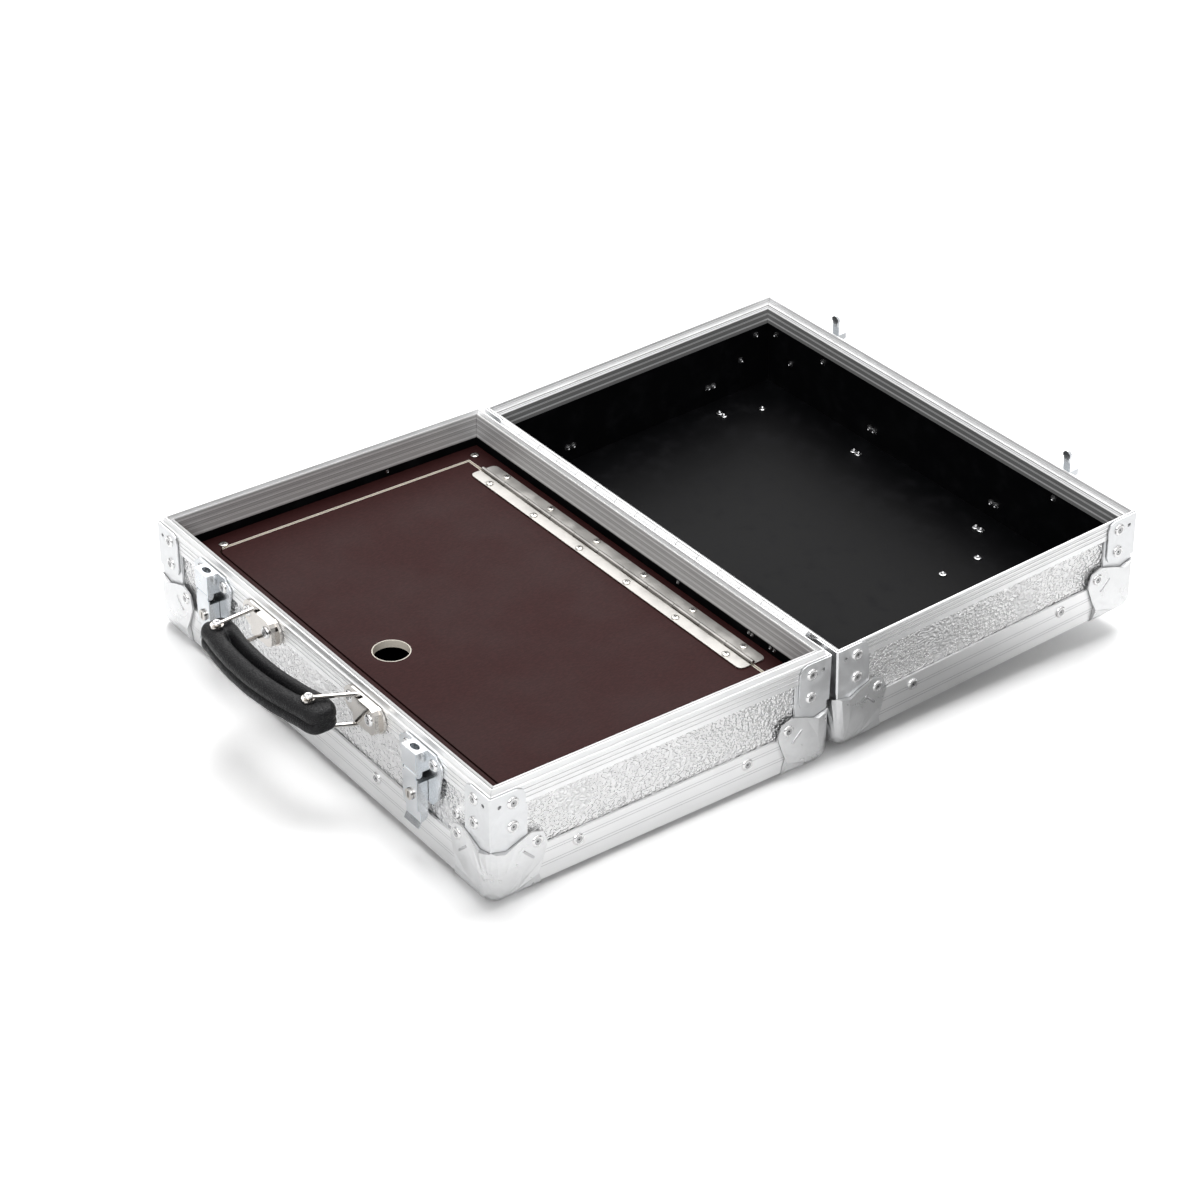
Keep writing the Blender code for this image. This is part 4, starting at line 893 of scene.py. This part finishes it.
screwSizes = {
    "vertices": 24,
    "rings": ((0.0003, 0.00020), (0.0006, 0.00016), (0.0008, 0.00008)),
    "sunk": 0.0002,
    "slot": 0.00075,
    "slotReach": 1.25,
    "slotTurn": math.radians(25),
    "slotDepth": 0.0020,
    "slotLift": 0.0010,
    "slotLevel": 0.00002,
}
boardScrewSizes = {
    "radius": 0.0032,
    "rise": 0.00085,
    "across": 0.1792,
    "rows": (-0.2130, -0.0006),
    "top": 0.0592,
    "turnAcross": 0.7,
    "turnAlong": 40,
}
leafScrewSizes = {
    "radius": 0.0028,
    "rise": 0.00065,
    "middle": -0.0025,
    "pitch": 0.0544,
    "count": 6,
    "axis": -0.0081,
    "offset": 0.0076,
    "top": 0.0603,
    "turnStep": 1.3,
}


def cutSlot(piece, radius, rise, turn):
    sizes = screwSizes
    settings = {
        "size": 1,
        "location": (0, 0, rise + sizes["slotLift"]),
        "rotation": (0, 0, turn + sizes["slotTurn"]),
        "scale": (radius * sizes["slotReach"], sizes["slot"], sizes["slotDepth"]),
    }
    cutter = startPiece("slotCutter", "primitive_cube_add", **settings)
    layFlat(cutter)
    cut = piece.modifiers.new("slot", "BOOLEAN")
    cut.operation = "DIFFERENCE"
    cut.solver = "EXACT"
    cut.object = cutter
    select(piece)
    bpy.ops.object.modifier_apply(modifier=cut.name)
    bpy.data.objects.remove(cutter, do_unlink=True)


def screwModel(name, radius, rise):
    low = -screwSizes["sunk"]
    rings = screwSizes["rings"]
    piece = turnedHead(name, screwSizes["vertices"], radius, low, rise, rings)
    for turn in (0, math.pi / 2):
        cutSlot(piece, radius, rise, turn)
    dress(piece, ("screw", "pitShade"), 35)
    # The slot floors are painted near black, as painted shade
    for face in piece.data.polygons:
        off = abs(face.center.z - rise)
        if off < screwSizes["slotLevel"] and face.normal.z > upward:
            face.material_index = 1
    return piece


def screwSpot(x, y, z, turn):
    return Matrix.Translation((x, y, z)) @ Matrix.Rotation(turn, 4, "Z")


sizes = boardScrewSizes
boardScrew = screwModel("boardScrewModel", sizes["radius"], sizes["rise"])
spots = []
for hand in (-1, 1):
    for y in sizes["rows"]:
        turn = sizes["turnAcross"] * hand + sizes["turnAlong"] * y
        spots.append(screwSpot(hand * sizes["across"], y, sizes["top"], turn))
screws = copyOut("boardScrews", boardScrew, spots)
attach(screws, "base")
bpy.data.objects.remove(boardScrew, do_unlink=True)

sizes = leafScrewSizes
leafScrew = screwModel("leafScrewModel", sizes["radius"], sizes["rise"])
for body, hand in (("hatch", -1), ("base", 1)):
    spots = []
    y = sizes["axis"] + hand * sizes["offset"]
    for step in range(sizes["count"]):
        x = sizes["middle"] + (step - (sizes["count"] - 1) / 2) * sizes["pitch"]
        spots.append(screwSpot(x, y, sizes["top"], sizes["turnStep"] * step + hand))
    screws = copyOut(body + "LeafScrews", leafScrew, spots)
    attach(screws, body)
bpy.data.objects.remove(leafScrew, do_unlink=True)
print("stage: screws")


# Padded leather grip: two lobes over a wide one, sewn along both sides

gripSizes = {
    "pin": (-0.061303, -0.286786, 0.0722),
    "along": (0.106542, 0.003506, 0.0),
    "pitch": 0.1066,
    "left": 0.0125,
    "right": 0.0158,
    "halfDepth": 0.0123,
    "halfHeight": 0.0096,
    "endShift": 0.0026,
    "bow": 0.0062,
    "straight": 0.80,  # share of each half between the rounded ends
    "steps": 26,
    # Share of the length, width and height toward each end
    "ends": (
        (1.0, 0.40, 0.62), (0.992, 0.56, 0.76), (0.975, 0.71, 0.87), (0.95, 0.83, 0.94),
        (0.91, 0.93, 0.985), (0.86, 0.985, 1.0),
    ),
    "grooveTop": 0.93,
    "grooveDepth": 0.78,
    "grooveStop": 0.004,  # short of the pin
    "grooveFade": 0.010,
    # Slight unevenness: share, waves along the grip, start
    "swells": ((0.012, 260, 1.1), (0.008, 610, 0.0)),
    "dents": (0.010, 420, 1.7),
    "poleShare": 0.45,
}


def gripRing(across, up, groove):  # across and up from the middle, right round the section
    ledge = 0.5 + groove / 2
    shares = (
        (0.84, -0.09), (0.93, -0.02), (1.00, 0.16), (1.00, 0.42), (0.93, 0.72), (0.76, 0.92),
        (0.56, 0.99), (0.38, 0.94), (0.25, ledge), (0.15, groove), (0.05, ledge),
        (-0.10, 0.93), (-0.32, 1.00), (-0.58, 0.98), (-0.80, 0.86), (-0.94, 0.62),
        (-0.99, 0.34), (-0.95, 0.10), (-0.88, -0.01), (-0.78, -0.08), (-0.90, -0.15),
        (-0.98, -0.30), (-1.00, -0.52), (-0.95, -0.76), (-0.80, -0.93), (-0.50, -1.00),
        (0.0, -1.00), (0.50, -1.00), (0.80, -0.93), (0.95, -0.74), (1.00, -0.48),
        (0.98, -0.26), (0.92, -0.15),
    )
    return [(first * across, second * up) for first, second in shares]


def gripStations(left, right):  # place along the grip, with the section's width and height
    sizes = gripSizes
    stations = [(-share * left, across, up) for share, across, up in sizes["ends"]]
    straight, steps = sizes["straight"], sizes["steps"]
    for step in range(steps + 1):
        place = -straight * left + (left + right) * straight * step / steps
        stations.append((place, 1.0, 1.0))
    for share, across, up in reversed(sizes["ends"]):
        stations.append((share * right, across, up))
    return stations


def gripSection(place, across, up):  # the points of one section
    sizes = gripSizes
    half = sizes["pitch"] / 2
    along = Vector(sizes["along"]).normalized()
    toward = Vector((-along.y, along.x, 0))
    centre = Vector(sizes["pin"]) + along * half
    bow = sizes["endShift"] - sizes["bow"] * (1 - min(1, abs(place) / half) ** 2)
    slack = (half - sizes["grooveStop"] - abs(place)) / sizes["grooveFade"]
    slack = min(1.0, max(0.0, slack))
    groove = sizes["grooveTop"] - sizes["grooveDepth"] * slack * slack * (3 - 2 * slack)
    swells = [share * math.sin(place * waves + start) for share, waves, start in sizes["swells"]]
    fat = 1 + sum(swells)
    dent, waves, turning = sizes["dents"]
    for turn, (side, rise) in enumerate(gripRing(across, up, groove)):
        soft = 1 + dent * math.sin(place * waves + turn * turning)
        width = sizes["halfDepth"] * min(1.0, fat * soft)
        spot = centre + along * place + toward * (bow + side * width)
        spot.z = centre.z + rise * sizes["halfHeight"] * min(1.0, 0.5 + fat * soft * 0.5)
        yield spot


def closeEnd(shape, ring, flip):
    count = len(ring)
    middle = sum((vertex.co for vertex in ring), Vector()) / count
    share = gripSizes["poleShare"]
    inner = [shape.verts.new(middle.lerp(vertex.co, share)) for vertex in ring]
    pole = shape.verts.new(middle)
    order = -1 if flip else 1
    for index in range(count):
        after = (index + 1) % count
        quad = [ring[index], inner[index], inner[after], ring[after]]
        fan = [inner[index], pole, inner[after]]
        shape.faces.new(quad[::order])
        shape.faces.new(fan[::order])


def leatherGrip():
    half = gripSizes["pitch"] / 2
    shape = bmesh.new()
    rings = []
    for station in gripStations(half + gripSizes["left"], half + gripSizes["right"]):
        rings.append([shape.verts.new(spot) for spot in gripSection(*station)])
    count = len(rings[0])
    for near, far in zip(rings, rings[1:]):
        for index in range(count):
            after = (index + 1) % count
            shape.faces.new((near[index], near[after], far[after], far[index]))
    closeEnd(shape, rings[0], False)
    closeEnd(shape, rings[-1], True)
    bmesh.ops.recalc_face_normals(shape, faces=shape.faces)
    mesh = bpy.data.meshes.new("leatherGrip")
    shape.to_mesh(mesh)
    shape.free()
    piece = bpy.data.objects.new("leatherGrip", mesh)
    bpy.context.scene.collection.objects.link(piece)
    select(piece)
    smooth = piece.modifiers.new("smooth", "SUBSURF")
    smooth.levels = 2
    smooth.render_levels = 2
    bpy.ops.object.modifier_apply(modifier=smooth.name)
    bpy.ops.object.shade_smooth()
    piece.data.materials.append(finishes["leather"])
    return piece


grip = leatherGrip()
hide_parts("grip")
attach(grip, "grip")
print("stage: leather grip")


# Floor: white to the camera, a little darker in the metal, with two places painted darker that only
# the metal sees, as painted dark reflections: a round spot beside the hinge and the floor behind
# the case

floorSizes = {
    "half": 6.0,
    "drop": 0.0004,
    "paper": 0.92,
    "seenPaper": 1.95,
    "shinyShare": 0.52,
    # a round spot beside the hinge, painted darker for the metal only, as a painted dark reflection
    "shadeSpot": {"middle": (0.275, 0.125, 0.0), "near": 0.04, "far": 0.17, "dim": 0.28},
    "lean": (1, -1, 0),
    "behind": (-0.42, -0.06, 0.66),
}


def grey(value):
    return (value, value, value, 1)


def seenDirectly(tree, path):  # by the camera, or by it through something clear
    rays = [path.outputs["Is Camera Ray"], path.outputs["Is Transmission Ray"]]
    return addNode(tree, "ShaderNodeMath", {"operation": "MAXIMUM"}, rays).outputs[0]


def fadeNode(tree, value, limits):
    settings = {"interpolation_type": "SMOOTHSTEP"}
    return addNode(tree, "ShaderNodeMapRange", settings, [value, *limits]).outputs[0]


def mixNode(tree, kind, share, first, second):
    settings = {"data_type": "RGBA", "blend_type": kind}
    return addNode(tree, "ShaderNodeMix", settings, {0: share, 6: first, 7: second}).outputs[2]


def paintedReflectionShade(tree):  # painted dark reflections, for the metal only: a round spot beside the hinge and the floor behind the case
    shadeSpot = floorSizes["shadeSpot"]
    spot = addNode(tree, "ShaderNodeTexCoord", {}).outputs["Object"]
    ends = [spot, shadeSpot["middle"]]
    reach = addNode(tree, "ShaderNodeVectorMath", {"operation": "DISTANCE"}, ends)
    limits = (shadeSpot["near"], shadeSpot["far"], shadeSpot["dim"], 1.0)
    fade = fadeNode(tree, reach.outputs["Value"], limits)
    ends = [spot, floorSizes["lean"]]
    lean = addNode(tree, "ShaderNodeVectorMath", {"operation": "DOT_PRODUCT"}, ends)
    rear = fadeNode(tree, lean.outputs["Value"], (*floorSizes["behind"], 1.0))
    return addNode(tree, "ShaderNodeMath", {"operation": "MULTIPLY"}, [fade, rear]).outputs[0]


def makeFloor():
    sizes = floorSizes
    place = (0, 0, -sizes["drop"])
    settings = {"size": sizes["half"] * 2, "location": place}
    floor = startPiece("studioFloor", "primitive_plane_add", **settings)
    paper = bpy.data.materials.new("studioPaper")
    paper.use_nodes = True
    tree = paper.node_tree
    tree.nodes.clear()
    path = addNode(tree, "ShaderNodeLightPath", {})
    glossy = path.outputs["Is Glossy Ray"]
    values = [glossy, sizes["shinyShare"], seenDirectly(tree, path)]
    share = addNode(tree, "ShaderNodeMath", {"operation": "MULTIPLY_ADD"}, values).outputs[0]
    shade = mixNode(tree, "MIX", share, grey(sizes["paper"]), grey(sizes["seenPaper"]))
    # Glossy rays see the painted dark reflections
    reflectionShade = mixNode(tree, "MIX", glossy, grey(1), paintedReflectionShade(tree))
    color = mixNode(tree, "MULTIPLY", 1.0, shade, reflectionShade)
    matt = addNode(tree, "ShaderNodeBsdfDiffuse", {}, {"Color": color})
    addNode(tree, "ShaderNodeOutputMaterial", {}, [matt.outputs[0]])
    floor.data.materials.append(paper)
    return floor


# Lamps and world

lampSizes = {
    "sun": {"toward": (-0.28, 0.32, 1.0), "power": 1.85, "angle": 42},
    "fill": {"toward": (0.52, -0.60, 0.72), "power": 1.35, "angle": 50},
    "backSoftbox": {
        "place": (-1.75, 1.35, 1.35),
        "aim": (0, 0, 0.05),
        "sides": (1.7, 1.1),
        "power": 9,
    },
}
skySizes = {
    "stops": ((0.0, 0.35), (0.10, 0.22), (0.24, 0.40), (0.46, 1.00), (1.0, 1.00)),
    "warm": 1.005,
    "power": 0.24,
    "shine": 0.92,
    "room": (0.74, -0.56, 0.37),  # the dim side, behind the camera
    "roomFade": (0.72, 0.93, 1.0, 0.45),
}


def aimLamp(lamp, name, power, turn):
    lamp.name = name
    lamp.data.energy = power
    lamp.rotation_mode = "QUATERNION"
    lamp.rotation_quaternion = turn


def makeSun(name):
    sun = lampSizes[name]
    toward = Vector(sun["toward"])
    bpy.ops.object.light_add(type="SUN", location=toward * 2)
    lamp = bpy.context.object
    lamp.data.angle = math.radians(sun["angle"])
    aimLamp(lamp, name, sun["power"], toward.to_track_quat("Z", "Y"))
    return lamp


def makeSoftbox(name):
    box = lampSizes[name]
    place = Vector(box["place"])
    bpy.ops.object.light_add(type="AREA", location=place)
    lamp = bpy.context.object
    lamp.data.shape = "RECTANGLE"
    lamp.data.size, lamp.data.size_y = box["sides"]
    aimLamp(lamp, name, box["power"], (Vector(box["aim"]) - place).to_track_quat("-Z", "Y"))


def makeWorld():
    sky = skySizes
    world = bpy.data.worlds.new("studioWorld")
    bpy.context.scene.world = world
    world.use_nodes = True
    tree = world.node_tree
    spot = addNode(tree, "ShaderNodeTexCoord", {}).outputs["Generated"]
    height = addNode(tree, "ShaderNodeSeparateXYZ", {}, [spot]).outputs["Z"]
    ramp = addNode(tree, "ShaderNodeValToRGB", {}, [height])
    stops = ramp.color_ramp.elements
    while len(stops) < len(sky["stops"]):
        stops.new(0.5)
    for stop, (place, shade) in zip(stops, sky["stops"]):
        stop.position = place
        stop.color = (shade * sky["warm"], shade, shade, 1)
    ends = [spot, sky["room"]]
    toward = addNode(tree, "ShaderNodeVectorMath", {"operation": "DOT_PRODUCT"}, ends)
    fade = fadeNode(tree, toward.outputs["Value"], sky["roomFade"])
    dim = mixNode(tree, "MULTIPLY", 1.0, ramp.outputs[0], fade)
    path = addNode(tree, "ShaderNodeLightPath", {})
    direct = seenDirectly(tree, path)
    color = mixNode(tree, "MIX", direct, dim, grey(1))
    values = [path.outputs["Is Glossy Ray"], sky["shine"] - sky["power"], sky["power"]]
    shine = addNode(tree, "ShaderNodeMath", {"operation": "MULTIPLY_ADD"}, values).outputs[0]
    power = addNode(tree, "ShaderNodeMath", {"operation": "MAXIMUM"}, [direct, shine]).outputs[0]
    back = tree.nodes["Background"]
    tree.links.new(color, back.inputs["Color"])
    tree.links.new(power, back.inputs["Strength"])


# Camera of the photograph

cameraSizes = {
    "eye": (1.43310, -1.10150, 1.18840),
    "ahead": (-0.67138, 0.50693, -0.54061),
    "side": (0.59697, 0.80219, 0.01082),
    "focal": 3079.652,  # in pixels of the frame
    "frame": 1200,
    "sensor": 36,
    "clip": (0.05, 50),
}


def makeCamera():
    sizes = cameraSizes
    ahead = Vector(sizes["ahead"]).normalized()
    side = Vector(sizes["side"]).normalized()
    rise = side.cross(ahead).normalized()
    side = ahead.cross(rise).normalized()
    camera = bpy.data.objects.new("photoCamera", bpy.data.cameras.new("photoCamera"))
    bpy.context.scene.collection.objects.link(camera)
    camera.data.sensor_width = sizes["sensor"]
    camera.data.lens = sizes["focal"] / sizes["frame"] * sizes["sensor"]
    camera.data.clip_start, camera.data.clip_end = sizes["clip"]
    turn = Matrix((side, rise, -ahead)).transposed().to_4x4()
    camera.matrix_world = Matrix.Translation(sizes["eye"]) @ turn
    bpy.context.scene.camera = camera


floor = makeFloor()
makeWorld()
makeSun("sun")
fill = makeSun("fill")
spared = bpy.data.collections.new("spared")  # the fill leaves the floor its shadow
spared.objects.link(floor)
spared.collection_objects[0].light_linking.link_state = "EXCLUDE"
fill.light_linking.receiver_collection = spared
makeSoftbox("backSoftbox")
makeCamera()
bpy.context.scene.view_settings.view_transform = "Standard"
print("stage: studio ready")
